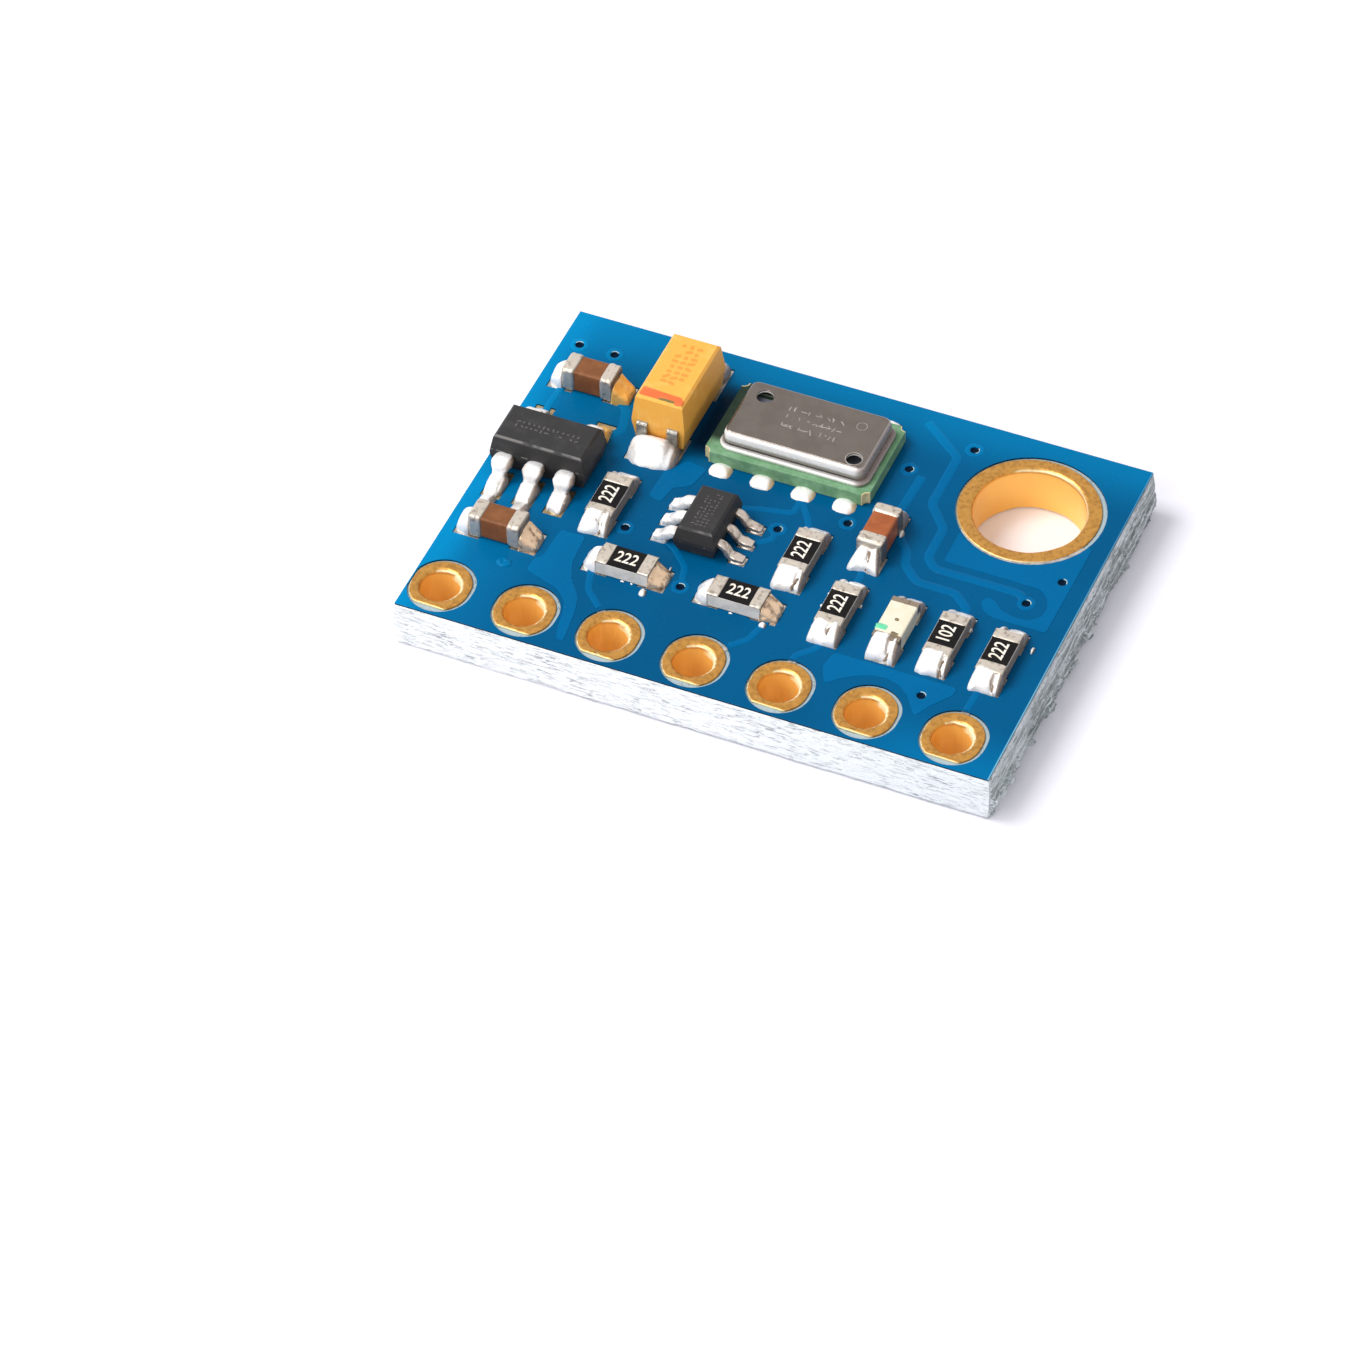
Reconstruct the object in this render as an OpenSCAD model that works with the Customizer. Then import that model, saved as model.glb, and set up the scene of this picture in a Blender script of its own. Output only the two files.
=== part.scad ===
// Pressure sensor module: a small blue circuit board with a can-type pressure sensor, a voltage
// regulator, a level shifter, a tantalum capacitor and chip parts, with seven plated pin holes.
// Places on the board are measured from its front left corner. The origin is the middle of its underside.

/* [Board] */
// Length of the board along its row of pin holes
board_w = 17.6; // [17.4:0.1:20]
// Depth of the board from the pin edge to the back edge
board_d = 12.7; // [12.6:0.1:15]
// Thickness of the bare laminate
laminate_t = 1.42; // [1:0.02:2]
// Thickness of the copper under the solder mask
copper_t = 0.035; // [0.02:0.005:0.07]
// Thickness of the solder mask
mask_t = 0.03; // [0.02:0.005:0.04]
// Gap between the land of a plated hole and the edge of the mask round it
mask_gap = 0.09; // [0.06:0.01:0.12]
// How far the mask's openings lie to the right of those lands
mask_shift = 0.05; // [0:0.01:0.05]
// Gap between the land of a part and the edge of the mask round it
part_gap = 0.02; // [0.01:0.01:0.04]
// Depth of the groove that the board was snapped along
score_depth = 0.42; // [0.2:0.02:0.48]
// How far the snapped web stands out past the lips of the groove
score_step = 0.05; // [0.02:0.01:0.1]

/* [Pin holes] */
// Distance from one pin hole to the next
pin_pitch = 2.54; // [2.45:0.01:2.58]
// Bore of a plated pin hole
pin_hole_d = 1.1; // [0.8:0.05:1.2]
// Width of a pin hole's land
pin_land_w = 1.68; // [1.6:0.02:1.68]
// How much longer than wide a pin hole's land is
pin_land_stretch = 0.2; // [0.1:0.02:0.24]
// From the board's left edge to the first pin hole
pin_edge_x = 0.88; // [0.88:0.01:1.1]
// From the board's front edge to the row of pin holes
pin_edge_y = 1.1; // [1.04:0.01:1.2]
// Strip along the front edge that the pin lands are cut back from
pin_land_setback = 0.29; // [0.2:0.01:0.36]
// Strip of solder mask left between a pin land's opening and the board's edges
mask_rim = 0.03; // [0.02:0.005:0.04]

/* [Mounting hole] */
// Bore of the plated mounting hole
mount_hole_d = 3.2; // [2.6:0.1:3.4]
// Outer diameter of the mounting hole's land
mount_land_d = 4.08; // [3.8:0.02:4.2]
// From the board's right edge to the middle of the mounting hole
mount_edge_x = 2.68; // [2.5:0.02:2.9]
// From the board's back edge to the middle of the mounting hole
mount_edge_y = 2.7; // [2.5:0.02:2.9]
// Thickness of the plating on the wall of a plated hole
plating_t = 0.04; // [0.02:0.01:0.06]

/* [Vias] */
// Bore of a plated via
via_hole_d = 0.26; // [0.2:0.02:0.3]
// Diameter of a via's ring
via_land_d = 0.56; // [0.5:0.02:0.6]

/* [Chip parts] */
// Length of a chip resistor, chip capacitor or chip lamp
chip_l = 1.6; // [1.5:0.05:1.7]
// Width of a chip part
chip_w = 0.8; // [0.7:0.05:0.9]
// Height of a chip resistor
resistor_h = 0.45; // [0.35:0.05:0.6]
// Height of a chip capacitor
capacitor_h = 0.8; // [0.6:0.05:0.95]
// Length of a resistor's or a capacitor's metal end, along its top
end_len = 0.34; // [0.2:0.02:0.4]
// Thickness of the metal on a resistor's end
end_t = 0.025; // [0.015:0.005:0.04]
// Thickness of the black glass on a resistor
overcoat_t = 0.035; // [0.03:0.005:0.05]
// Thickness of the metal cap on a chip capacitor's end
cap_t = 0.03; // [0.02:0.005:0.05]
// Rounding of a chip capacitor's edges
cap_round = 0.09; // [0.05:0.01:0.14]
// Thickness of the lamp's base
lamp_base_h = 0.24; // [0.2:0.02:0.3]
// Height of the lamp's lens above its base
lamp_lens_h = 0.32; // [0.26:0.02:0.4]
// Length of the lamp's lens
lamp_lens_l = 1.2; // [1:0.02:1.26]
// Side of the light-making die in the lamp
lamp_die_w = 0.24; // [0.15:0.01:0.3]

/* [Solder] */
// Thickness of the solder between a land and what stands on it
film_t = 0.025; // [0.015:0.005:0.04]
// How far a chip part's land reaches out past its end
land_toe = 0.44; // [0.3:0.02:0.5]
// How far a chip part's land reaches in under it
land_heel = 0.32; // [0.2:0.02:0.4]
// How far a chip part's land stands out on each side of it
land_side = 0.03; // [0.02:0.01:0.08]

/* [Pressure sensor] */
// Length of the sensor's base
sensor_l = 5; // [4.9:0.05:5.1]
// Depth of the sensor's base
sensor_w = 3; // [2.9:0.05:3.1]
// Thickness of the sensor's base
sensor_base_t = 0.4; // [0.3:0.02:0.5]
// Height of the sensor over its base and lid
sensor_h = 1; // [0.9:0.02:1.2]
// Length of the lid's rim
lid_rim_l = 4.66; // [4.5:0.02:4.7]
// Depth of the lid's rim
lid_rim_w = 2.7; // [2.6:0.02:2.75]
// Height of the lid's rim
lid_rim_h = 0.17; // [0.12:0.01:0.2]
// How far the lid's wall stands in from the rim
lid_step = 0.14; // [0.1:0.01:0.18]
// Thickness of the lid's metal
lid_t = 0.09; // [0.06:0.01:0.11]
// Rounding of the lid's upright corners
lid_corner = 0.42; // [0.3:0.02:0.6]
// Rounding of the lid's top edge
lid_edge = 0.14; // [0.1:0.01:0.2]
// Diameter of the larger hole in the lid
vent_d = 0.5; // [0.3:0.02:0.6]
// Diameter of the smaller hole in the lid
port_d = 0.46; // [0.3:0.02:0.6]
// Spacing of the sensor's terminals
sensor_pitch = 1.25; // [1.2:0.01:1.3]

/* [Regulator] */
// Length of the regulator's body
regulator_l = 2.9; // [2.8:0.02:3]
// Width of the regulator's body
regulator_w = 1.6; // [1.5:0.02:1.7]
// Height of the regulator's body
regulator_h = 1.08; // [0.9:0.02:1.2]
// Spacing of the regulator's legs
regulator_pitch = 0.95; // [0.9:0.01:1]
// Width of a regulator leg
regulator_lead_w = 0.4; // [0.3:0.02:0.46]
// How far a regulator leg reaches out from the body
regulator_reach = 0.64; // [0.5:0.02:0.7]

/* [Level shifter] */
// Width of the level shifter's body, from one row of legs to the other
shifter_w = 1.25; // [1.15:0.01:1.35]
// Length of the level shifter's body, along a row of legs
shifter_l = 2; // [1.9:0.02:2.1]
// Height of the level shifter's body
shifter_h = 0.88; // [0.8:0.02:1]
// Spacing of the level shifter's legs
shifter_pitch = 0.65; // [0.62:0.01:0.68]
// Width of a level shifter leg
shifter_lead_w = 0.24; // [0.2:0.01:0.3]
// How far a level shifter leg reaches out from the body
shifter_reach = 0.55; // [0.4:0.01:0.6]

/* [Moulded packages] */
// Thickness of a leg
lead_t = 0.13; // [0.1:0.01:0.16]
// Gap between a moulded body and the solder under its feet
standoff = 0.06; // [0.03:0.01:0.1]
// How far a moulded side leans in above and below its parting line
draft = 0.09; // [0.05:0.01:0.12]
// Bevel round the top of a moulded body
bevel = 0.07; // [0.04:0.01:0.1]

/* [Tantalum capacitor] */
// Length of the tantalum capacitor's body
tantalum_l = 2.96; // [2.8:0.02:3.1]
// Width of the tantalum capacitor's body
tantalum_w = 1.62; // [1.5:0.02:1.7]
// Height of the tantalum capacitor's body
tantalum_h = 1.62; // [1.4:0.02:1.8]
// Width of a tantalum capacitor's terminal strip
strip_w = 1.24; // [1:0.02:1.3]
// Width of the gap between the strip's two prongs
strip_window = 0.62; // [0.4:0.02:0.8]
// Thickness of the terminal strip
strip_t = 0.1; // [0.08:0.01:0.12]

/* [Hidden] */

$fn = 64;
eps = 0.5;
pin_count = 7;
skin_t = copper_t + mask_t;
laminate_z = skin_t;
laminate_top = laminate_z + laminate_t;
land_z = laminate_top + copper_t;
board_t = laminate_top + skin_t;
seat_z = land_z + film_t;
mount_x = board_w - mount_edge_x;
mount_y = board_d - mount_edge_y;

// Middle of each part, and its turn from lying along the pin row
resistor_places = [[3.98, 5.74, 90], [5.46, 3.57, 0], [8.82, 3.58, 0], [9.8, 5.74, 90],
    [11.52, 4.2, 90], [14.7, 4.24, 90], [16.28, 4.18, 90]];
capacitor_places = [[1.58, 3.57, 0], [1.6, 9.94, 0], [11.53, 7.22, 90]];
lamp_place = [13.24, 4.18, 90];
chip_places = concat(resistor_places, capacitor_places, [lamp_place]);
sensor_place = [8.2, 9.87, 0];
regulator_place = [1.66, 6.74, 0];
shifter_place = [6.96, 5.76, 0];
tantalum_place = [4.32, 9.87, 90];

// Middle of each via
via_places = [[12.63, 11.65], [11.2, 10.25], [10.42, 7.6], [8.7, 6.65], [16.78, 7.7],
    [16.15, 6.57], [14.77, 2.22], [7.07, 3.55], [4.73, 5.1], [1.65, 11.4], [0.55, 11.4]];

// Turning points of each copper track, in tracks of three widths
fine_bend = 0.22;
broad_bend = 0.28;
fine_tracks = [
    [[11.02, 1.9], [11.02, 2.3], [11.5, 2.75], [11.5, 3.2]],
    [[16.1, 1.9], [16.12, 2.5], [16.16, 3.2]],
    [[8.9, 1.7], [9.6, 2.4], [9.8, 3.3]],
    [[5.5, 1.8], [4.75, 2.5], [4.5, 3.3]],
    [[11.5, 4.9], [11.56, 5.4], [11.53, 6.1]],
    [[9.75, 6.5], [9.35, 7.3], [8.8, 8.1]],
    [[7.07, 3.55], [6.9, 4.3], [6.3, 4.9], [5.9, 5.1]],
    [[8.1, 5.75], [8.7, 6.3], [8.7, 6.65]],
    [[0.75, 8.1], [0.75, 9], [0.8, 9.8]]];
broad_tracks = [
    [[11, 12.2], [12.3, 11.2], [12.3, 9.2], [12.98, 8.4], [12.98, 7.2], [13.32, 6.86], [15.9, 6.86],
        [16.15, 6.57]],
    [[11.65, 10.1], [11.6, 8.9], [11.53, 7.9]],
    [[11.7, 7.9], [12.35, 7.2], [12.5, 6.7], [13.05, 6.2], [14.2, 6.2], [14.72, 5.75], [14.72, 5.1]],
    [[2.65, 8.1], [3.1, 8.6], [2.9, 9.4], [2.4, 9.9]]];
fine_w = 0.24;
broad_w = 0.32;

// Corners of each copper area under the mask
front_area = [[11.98, 2.84], [11.86, 2.25], [12.15, 1.64], [12.5, 1.98], [12.9, 2.25], [13.3, 2.42],
    [13.65, 2.46], [14.05, 2.37], [14.4, 2.1], [14.65, 1.74], [14.88, 1.42], [15.15, 1.95],
    [15.58, 2.55], [15.58, 2.84]];
left_area = [[2.86, 3.05], [2.86, 2.55], [3.35, 2.38], [3.9, 2.22], [4.3, 1.85], [4.45, 1.45],
    [4.52, 1], [4.68, 0.42], [4.92, 0.42], [4.78, 1.5], [4.62, 2.1], [4.15, 2.72],
    [3.92, 3.3], [3.86, 4.35], [3.1, 4.35], [3.05, 3.2]];
shifter_area = [[4.82, 6.5], [5.25, 6.4], [5.35, 7.05], [5.8, 7.3], [5.95, 8.1], [5.3, 8.2], [4.85, 7.6]];
mount_area = [[13.42, 8.6], [13.44, 7.24], [16.3, 7.22], [16.6, 6.98], [16.76, 6.6], [16.72, 6.22],
    [16.45, 5.98], [16.1, 5.93], [15.62, 6.05], [15.34, 6.32], [15.06, 6.4], [14.96, 6.12],
    [15.2, 5.82], [15.5, 5.7], [17.06, 5.7], [17.15, 9.2], [16.6, 9.2]];
copper_areas = [front_area, left_area, shifter_area, mount_area];
bottom_margin = 0.3;
bottom_clearance = 0.2;

// Direction from one point to the next, and the direction a quarter turn to its left
function heading(a, b) = (b - a) / norm(b - a);
function left_of(v) = [-v[1], v[0]];
function turned(v, angle) = [v[0] * cos(angle) - v[1] * sin(angle), v[0] * sin(angle) + v[1] * cos(angle)];
function reversed(list) = [for (i = [len(list) - 1:-1:0]) list[i]];

// Sideways step at a corner that keeps both of its sides the same distance away
function mitre(u, v) = (left_of(u) + left_of(v)) / (1 + u * v);

// Points of an open line moved sideways
function moved_line(path, d) = let (last = len(path) - 1) [for (i = [0:last])
    let (u = heading(path[max(i - 1, 0)], path[max(i, 1)]),
        v = heading(path[min(i, last - 1)], path[min(i + 1, last)]))
    path[i] + d * mitre(u, v)];

// Points of a closed outline, drawn clockwise or not, moved out by a distance
function turning(points) = let (n = len(points))
    [for (i = [0:n - 1]) cross(points[i], points[(i + 1) % n])] * [for (i = [0:n - 1]) 1];
function grown_outline(points, d) = let (n = len(points), way = sign(turning(points)))
    [for (i = [0:n - 1]) points[i] - way * d
        * mitre(heading(points[(i + n - 1) % n], points[i]), heading(points[i], points[(i + 1) % n]))];

// Points of the arc that rounds the corner b between a and c
function bend(a, b, c, r, steps) = let (u = heading(a, b), v = heading(b, c),
        turn = atan2(cross(u, v), u * v), start = b - r * tan(abs(turn) / 2) * u,
        centre = start + sign(turn) * r * left_of(u))
    [for (k = [0:steps]) centre + turned(start - centre, turn * k / steps)];
function rounded_line(path, r, steps) = let (last = len(path) - 1)
    [path[0], for (i = [1:last - 1]) each bend(path[i - 1], path[i], path[i + 1], r, steps), path[last]];
function ribbon(path, w) = concat(moved_line(path, w / 2), reversed(moved_line(path, -w / 2)));
function rounded_outline(points, r, steps) = let (n = len(points))
    [for (i = [0:n - 1]) each bend(points[(i + n - 1) % n], points[i], points[(i + 1) % n], r, steps)];

// Corners of a rectangle about the origin
function box_outline(l, w) = [[-l / 2, -w / 2], [l / 2, -w / 2], [l / 2, w / 2], [-l / 2, w / 2]];

// Section of a moulded body: it leans in below and above a flat band, with a bevel round its top
function moulded_section(w, h, band_z, band_h) = let (half = w / 2, foot = half - draft, top = foot - bevel,
        low = band_z - band_h / 2, high = band_z + band_h / 2)
    [[-foot, 0], [foot, 0], [half, low], [half, high], [foot, h - bevel], [top, h],
        [-top, h], [-foot, h - bevel], [-half, high], [-half, low]];

module from_corner() {
    translate([-board_w / 2, -board_d / 2, 0]) children();
}

module at_place(place, z = 0) {
    from_corner() translate([place[0], place[1], z]) rotate(place[2]) children();
}

module slab(l, w, h) {
    translate([-l / 2, -w / 2, 0]) cube([l, w, h]);
}

module both_ends() {
    for (turn = [0, 180]) rotate(turn) children();
}

// A profile drawn across x and z, drawn out along y
module across(w) {
    rotate([90, 0, 0]) linear_extrude(w, center = true) children();
}

// A profile drawn across y and z, drawn out along x
module along(l) {
    rotate([90, 0, 90]) linear_extrude(l, center = true) children();
}

module moulded(l, w, h, band_z, band_h) {
    intersection() {
        across(w + eps) polygon(moulded_section(l, h, band_z, band_h));
        along(l + eps) polygon(moulded_section(w, h, band_z, band_h));
    }
}

module rounded_slab(l, w, h, r, steps = 4) {
    intersection() {
        linear_extrude(h) polygon(rounded_outline(box_outline(l, w), r, steps));
        across(w + eps) translate([0, h / 2]) polygon(rounded_outline(box_outline(l, h), r, steps));
        along(l + eps) translate([0, h / 2]) polygon(rounded_outline(box_outline(w, h), r, steps));
    }
}

// Solder that climbs an end face at x = 0 and runs down along +x in a hollow curve, narrower at its toe
module solder_ramp(run, rise, w, toe_w, sag = 0.05, lip = 0.04) {
    chord = norm([run, rise - lip]);
    r = chord * chord / (8 * sag) + sag / 2;
    out = [rise - lip, run] / chord;
    intersection() {
        across(w) difference() {
            polygon([[0, 0], [run, 0], [run, lip], [0, rise]]);
            translate([run / 2, (rise + lip) / 2] + (r - sag) * out) circle(r, $fn = 96);
        }
        linear_extrude(rise + eps) polygon([[0, -w / 2], [run, -toe_w / 2], [run, toe_w / 2], [0, w / 2]]);
    }
}

// Solder under and in front of a foot whose end face is at x = 0
module foot_solder(heel, run, rise, w, toe_w, sag = 0.05) {
    translate([-heel, -w / 2, 0]) cube([heel, w, film_t]);
    solder_ramp(run, rise, w, toe_w, sag);
}

// Board

module pin_places() {
    from_corner() for (i = [0:pin_count - 1])
        translate([pin_edge_x + i * pin_pitch, pin_edge_y]) children();
}

module mount_place() {
    from_corner() translate([mount_x, mount_y]) children();
}

module via_rows() {
    from_corner() for (place = via_places) translate(place) children();
}

module board_outline() {
    square([board_w, board_d], center = true);
}

module pin_oval(grow = 0) {
    for (y = [-1, 1]) translate([0, y * pin_land_stretch / 2]) circle(d = pin_land_w + 2 * grow);
    square([pin_land_w + 2 * grow, pin_land_stretch], center = true);
}

// Oval round a pin hole, cut straight at a distance from the front edge
module pin_land_outline() {
    intersection() {
        pin_oval();
        translate([-board_w, pin_land_setback - pin_edge_y]) square([2 * board_w, board_d]);
    }
}

module hole_lands() {
    pin_places() pin_land_outline();
    mount_place() circle(d = mount_land_d);
}

// Openings in the mask, which leave the laminate bare in front of each pin land and to its right
module hole_openings() {
    intersection() {
        translate([mask_shift, 0]) union() {
            pin_places() pin_oval(mask_gap);
            mount_place() circle(d = mount_land_d + 2 * mask_gap);
        }
        from_corner() translate([mask_rim, mask_rim]) square([board_w, board_d]);
    }
}

// Edge profile left by snapping along a groove cut into both faces
function snapped_section(w) = let (lip = w / 2, web = w / 2 + score_step, low = laminate_z + score_depth,
        high = laminate_top - score_depth)
    [[-lip, laminate_z], [lip, laminate_z], [web, low], [web, high],
        [lip, laminate_top], [-lip, laminate_top], [-web, high], [-web, low]];

module substrate() {
    color("gainsboro") difference() {
        intersection() {
            across(board_d + 2) polygon(snapped_section(board_w));
            along(board_w + 2) polygon(snapped_section(board_d));
        }
        translate([0, 0, -eps]) linear_extrude(board_t + 2 * eps) {
            pin_places() circle(d = pin_hole_d + 2 * plating_t);
            mount_place() circle(d = mount_hole_d + 2 * plating_t);
            via_rows() circle(d = via_hole_d + 2 * plating_t);
        }
    }
}

// Barrel and both lands of one plated hole, on its axis
module plated_hole(hole_d) {
    difference() {
        union() {
            cylinder(d = hole_d + 2 * plating_t, h = board_t);
            linear_extrude(skin_t) children();
            translate([0, 0, laminate_top]) linear_extrude(skin_t) children();
        }
        translate([0, 0, -eps]) cylinder(d = hole_d, h = board_t + 2 * eps);
    }
}

module mount_hole_plating() {
    color("goldenrod") mount_place() plated_hole(mount_hole_d) circle(d = mount_land_d);
}

module pin_hole_plating(i) {
    color("goldenrod") from_corner() translate([pin_edge_x + (i - 1) * pin_pitch, pin_edge_y])
        plated_hole(pin_hole_d) pin_land_outline();
}

// Lands of every part that is soldered to the top
module chip_lands(grow) {
    l = land_toe + land_heel + 2 * grow;
    both_ends() translate([chip_l / 2 + (land_toe - land_heel) / 2, 0])
        square([l, chip_w + 2 * land_side + 2 * grow], center = true);
}

module land_shapes(grow = 0) {
    for (place = chip_places) at_place(place) chip_lands(grow);
    at_place(regulator_place) regulator_lands(grow);
    at_place(shifter_place) shifter_lands(grow);
    at_place(tantalum_place) tantalum_lands(grow);
    at_place(sensor_place) sensor_lands(grow);
}

// Tracks, areas and via rings that the mask covers
module track_shapes(grow = 0) {
    from_corner() {
        for (path = fine_tracks)
            polygon(ribbon(rounded_line(path, fine_bend, 3), fine_w + 2 * grow));
        for (path = broad_tracks)
            polygon(ribbon(rounded_line(path, broad_bend, 3), broad_w + 2 * grow));
        for (area = copper_areas) polygon(grown_outline(area, grow));
    }
    via_rows() circle(d = via_land_d + 2 * grow);
}

module top_copper() {
    color("peru") translate([0, 0, laminate_top]) linear_extrude(copper_t) difference() {
        union() {
            track_shapes();
            land_shapes();
        }
        hole_lands();
        via_rows() circle(d = via_hole_d + 2 * plating_t);
    }
}

module top_openings() {
    hole_openings();
    land_shapes(part_gap);
    via_rows() circle(d = via_hole_d);
}

// Mask that fills in round the copper and covers it, level all over
module top_mask() {
    color("royalblue") translate([0, 0, laminate_top]) difference() {
        linear_extrude(skin_t) difference() {
            board_outline();
            top_openings();
        }
        translate([0, 0, -eps]) linear_extrude(eps + copper_t) track_shapes();
    }
}

// Outline behind the pin lands, clear of the mounting hole's land
module bottom_area(grow = 0) {
    front = pin_edge_y + (pin_land_w + pin_land_stretch) / 2 + bottom_margin;
    w = board_w - 2 * bottom_margin;
    d = board_d - bottom_margin - front;
    difference() {
        from_corner() translate([bottom_margin - grow, front - grow]) square([w + 2 * grow, d + 2 * grow]);
        mount_place() circle(d = mount_land_d + 2 * bottom_clearance - 2 * grow);
    }
}

// Ground area of the underside, with the barrels of the vias that rise from it
module bottom_copper() {
    color("peru") difference() {
        union() {
            translate([0, 0, mask_t]) linear_extrude(copper_t) bottom_area();
            translate([0, 0, mask_t]) linear_extrude(land_z - mask_t)
                via_rows() circle(d = via_hole_d + 2 * plating_t);
        }
        translate([0, 0, -eps]) linear_extrude(board_t + eps) via_rows() circle(d = via_hole_d);
    }
}

module bottom_mask() {
    color("royalblue") difference() {
        union() {
            translate([0, 0, copper_t]) linear_extrude(mask_t) board_outline();
            linear_extrude(skin_t) bottom_area(mask_t);
        }
        translate([0, 0, mask_t]) linear_extrude(board_t) bottom_area();
        translate([0, 0, -eps]) linear_extrude(board_t) {
            hole_openings();
            via_rows() circle(d = via_hole_d);
        }
        translate([0, 0, mask_t]) linear_extrude(board_t) via_rows() circle(d = via_hole_d + 2 * plating_t);
    }
}

// Chip resistors

overcoat_margin = 0.02;

module resistor_ceramic(i) {
    color("whitesmoke") at_place(resistor_places[i - 1], seat_z + end_t)
        slab(chip_l - 2 * end_t, chip_w, resistor_h - 2 * end_t);
}

module resistor_overcoat(i) {
    color("black") at_place(resistor_places[i - 1], seat_z + resistor_h - end_t)
        slab(chip_l - 2 * end_len, chip_w - 2 * overcoat_margin, overcoat_t);
}

// Metal that wraps over the top, the end and the bottom of a block, and leaves its sides bare
module wrapped_ends(h) {
    difference() {
        both_ends() translate([chip_l / 2 - end_len, -chip_w / 2, 0]) cube([end_len, chip_w, h]);
        translate([0, 0, end_t]) slab(chip_l - 2 * end_t, chip_w + eps, h - 2 * end_t);
    }
}

module resistor_ends(i) {
    color("silver") at_place(resistor_places[i - 1], seat_z) wrapped_ends(resistor_h);
}

// Chip capacitors

module capacitor_block() {
    rounded_slab(chip_l - 2 * cap_t, chip_w - 2 * cap_t, capacitor_h - 2 * cap_t, cap_round - cap_t / 2);
}

module capacitor_body(i) {
    color("sienna") at_place(capacitor_places[i - 1], seat_z + cap_t) capacitor_block();
}

module capacitor_caps(i) {
    color("silver") at_place(capacitor_places[i - 1], seat_z) difference() {
        rounded_slab(chip_l, chip_w, capacitor_h, cap_round);
        translate([0, 0, -eps]) slab(chip_l - 2 * end_len, chip_w + eps, capacitor_h + 2 * eps);
        translate([0, 0, cap_t]) capacitor_block();
    }
}

// Lamp

lamp_die_h = 0.1;
lamp_end_drop = 0.02;
lamp_h = lamp_base_h + lamp_lens_h - lamp_end_drop;
lens_round = 0.05;

module lamp_base() {
    color("ivory") at_place(lamp_place, seat_z + end_t)
        slab(chip_l - 2 * end_t, chip_w, lamp_base_h - end_t);
}

// Metal that wraps round each end of the base and stands up beside the lens
module lamp_ends() {
    color("darkgoldenrod") at_place(lamp_place, seat_z) difference() {
        both_ends() translate([chip_l / 2 - end_len, -chip_w / 2, 0]) cube([end_len, chip_w, lamp_h]);
        translate([0, 0, end_t]) slab(chip_l - 2 * end_t, chip_w + eps, lamp_base_h - end_t);
        translate([0, 0, lamp_base_h / 2]) slab(lamp_lens_l, chip_w + eps, lamp_h);
    }
}

module lamp_die() {
    color("darkkhaki") at_place(lamp_place, seat_z + lamp_base_h)
        slab(lamp_die_w, lamp_die_w, lamp_die_h);
}

// Resin over the die, with its two long top edges rounded
module lamp_lens() {
    foot = [[-chip_w / 2, 0], [chip_w / 2, 0]];
    head = [[chip_w / 2, lamp_lens_h], [-chip_w / 2, lamp_lens_h]];
    color("cornsilk") at_place(lamp_place, seat_z + lamp_base_h) difference() {
        along(lamp_lens_l) polygon([foot[0], foot[1], each bend(foot[1], head[0], head[1], lens_round, 4),
            each bend(head[0], head[1], foot[0], lens_round, 4)]);
        translate([0, 0, -eps]) slab(lamp_die_w, lamp_die_w, lamp_die_h + eps);
    }
}

// Solder of the chip parts, which climbs a share of each part's height

resistor_climb = 0.9;
capacitor_climb = 0.75;
lamp_climb = 0.75;
toe_share = 0.94;

module chip_joints(h, climb) {
    w = chip_w + 2 * land_side;
    both_ends() translate([chip_l / 2, 0, 0]) {
        translate([-land_heel, -w / 2, 0]) cube([land_heel, w, film_t]);
        solder_ramp(land_toe, film_t + climb * h, w, toe_share * w);
    }
}

module chip_solder() {
    color("gainsboro") {
        for (place = resistor_places) at_place(place, land_z) chip_joints(resistor_h, resistor_climb);
        for (place = capacitor_places) at_place(place, land_z) chip_joints(capacitor_h, capacitor_climb);
        at_place(lamp_place, land_z) chip_joints(lamp_h, lamp_climb);
    }
}

// Gull-wing legs

leg_shoulder = 0.36;
leg_heel = 0.56;
leg_bend = 0.09;
foot_sag = 0.02;

// Line of a leg seen from its side: out of the body, down, and along the land
function leg_line(reach, exit_z) = rounded_line([[0, exit_z], [leg_shoulder * reach, exit_z],
    [leg_heel * reach, lead_t / 2], [reach, lead_t / 2]], leg_bend, 4);

module leg(reach, exit_z, w) {
    across(w) polygon(ribbon(leg_line(reach, exit_z), lead_t));
}

// Regulator

regulator_exit = 0.46;
regulator_land_l = 1.1;
regulator_land_w = 0.56;
regulator_toe = 0.52;
regulator_foot = 0.3 * regulator_reach;
regulator_solder_w = regulator_land_w - 0.02;
regulator_toe_w = regulator_land_w - 0.1;

// Where each regulator leg leaves the body: three in front, and two behind
module regulator_legs() {
    for (i = [-1:1]) translate([i * regulator_pitch, -regulator_w / 2]) rotate(-90) children();
    for (i = [-1, 1]) translate([i * regulator_pitch, regulator_w / 2]) rotate(90) children();
}

module regulator_lands(grow) {
    l = regulator_land_l + 2 * grow;
    w = regulator_land_w + 2 * grow;
    start = regulator_reach + regulator_toe - regulator_land_l;
    regulator_legs() translate([start - grow, -w / 2]) square([l, w]);
}

module regulator_body() {
    color("dimgray") at_place(regulator_place, seat_z + standoff)
        moulded(regulator_l, regulator_w, regulator_h, regulator_exit, lead_t);
}

module regulator_leads() {
    color("silver") at_place(regulator_place, seat_z) regulator_legs()
        leg(regulator_reach, standoff + regulator_exit, regulator_lead_w);
}

module regulator_solder() {
    rise = film_t + lead_t;
    color("gainsboro") at_place(regulator_place, land_z) regulator_legs() translate([regulator_reach, 0, 0])
        foot_solder(regulator_foot, regulator_toe, rise, regulator_solder_w, regulator_toe_w, foot_sag);
}

// Level shifter

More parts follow.
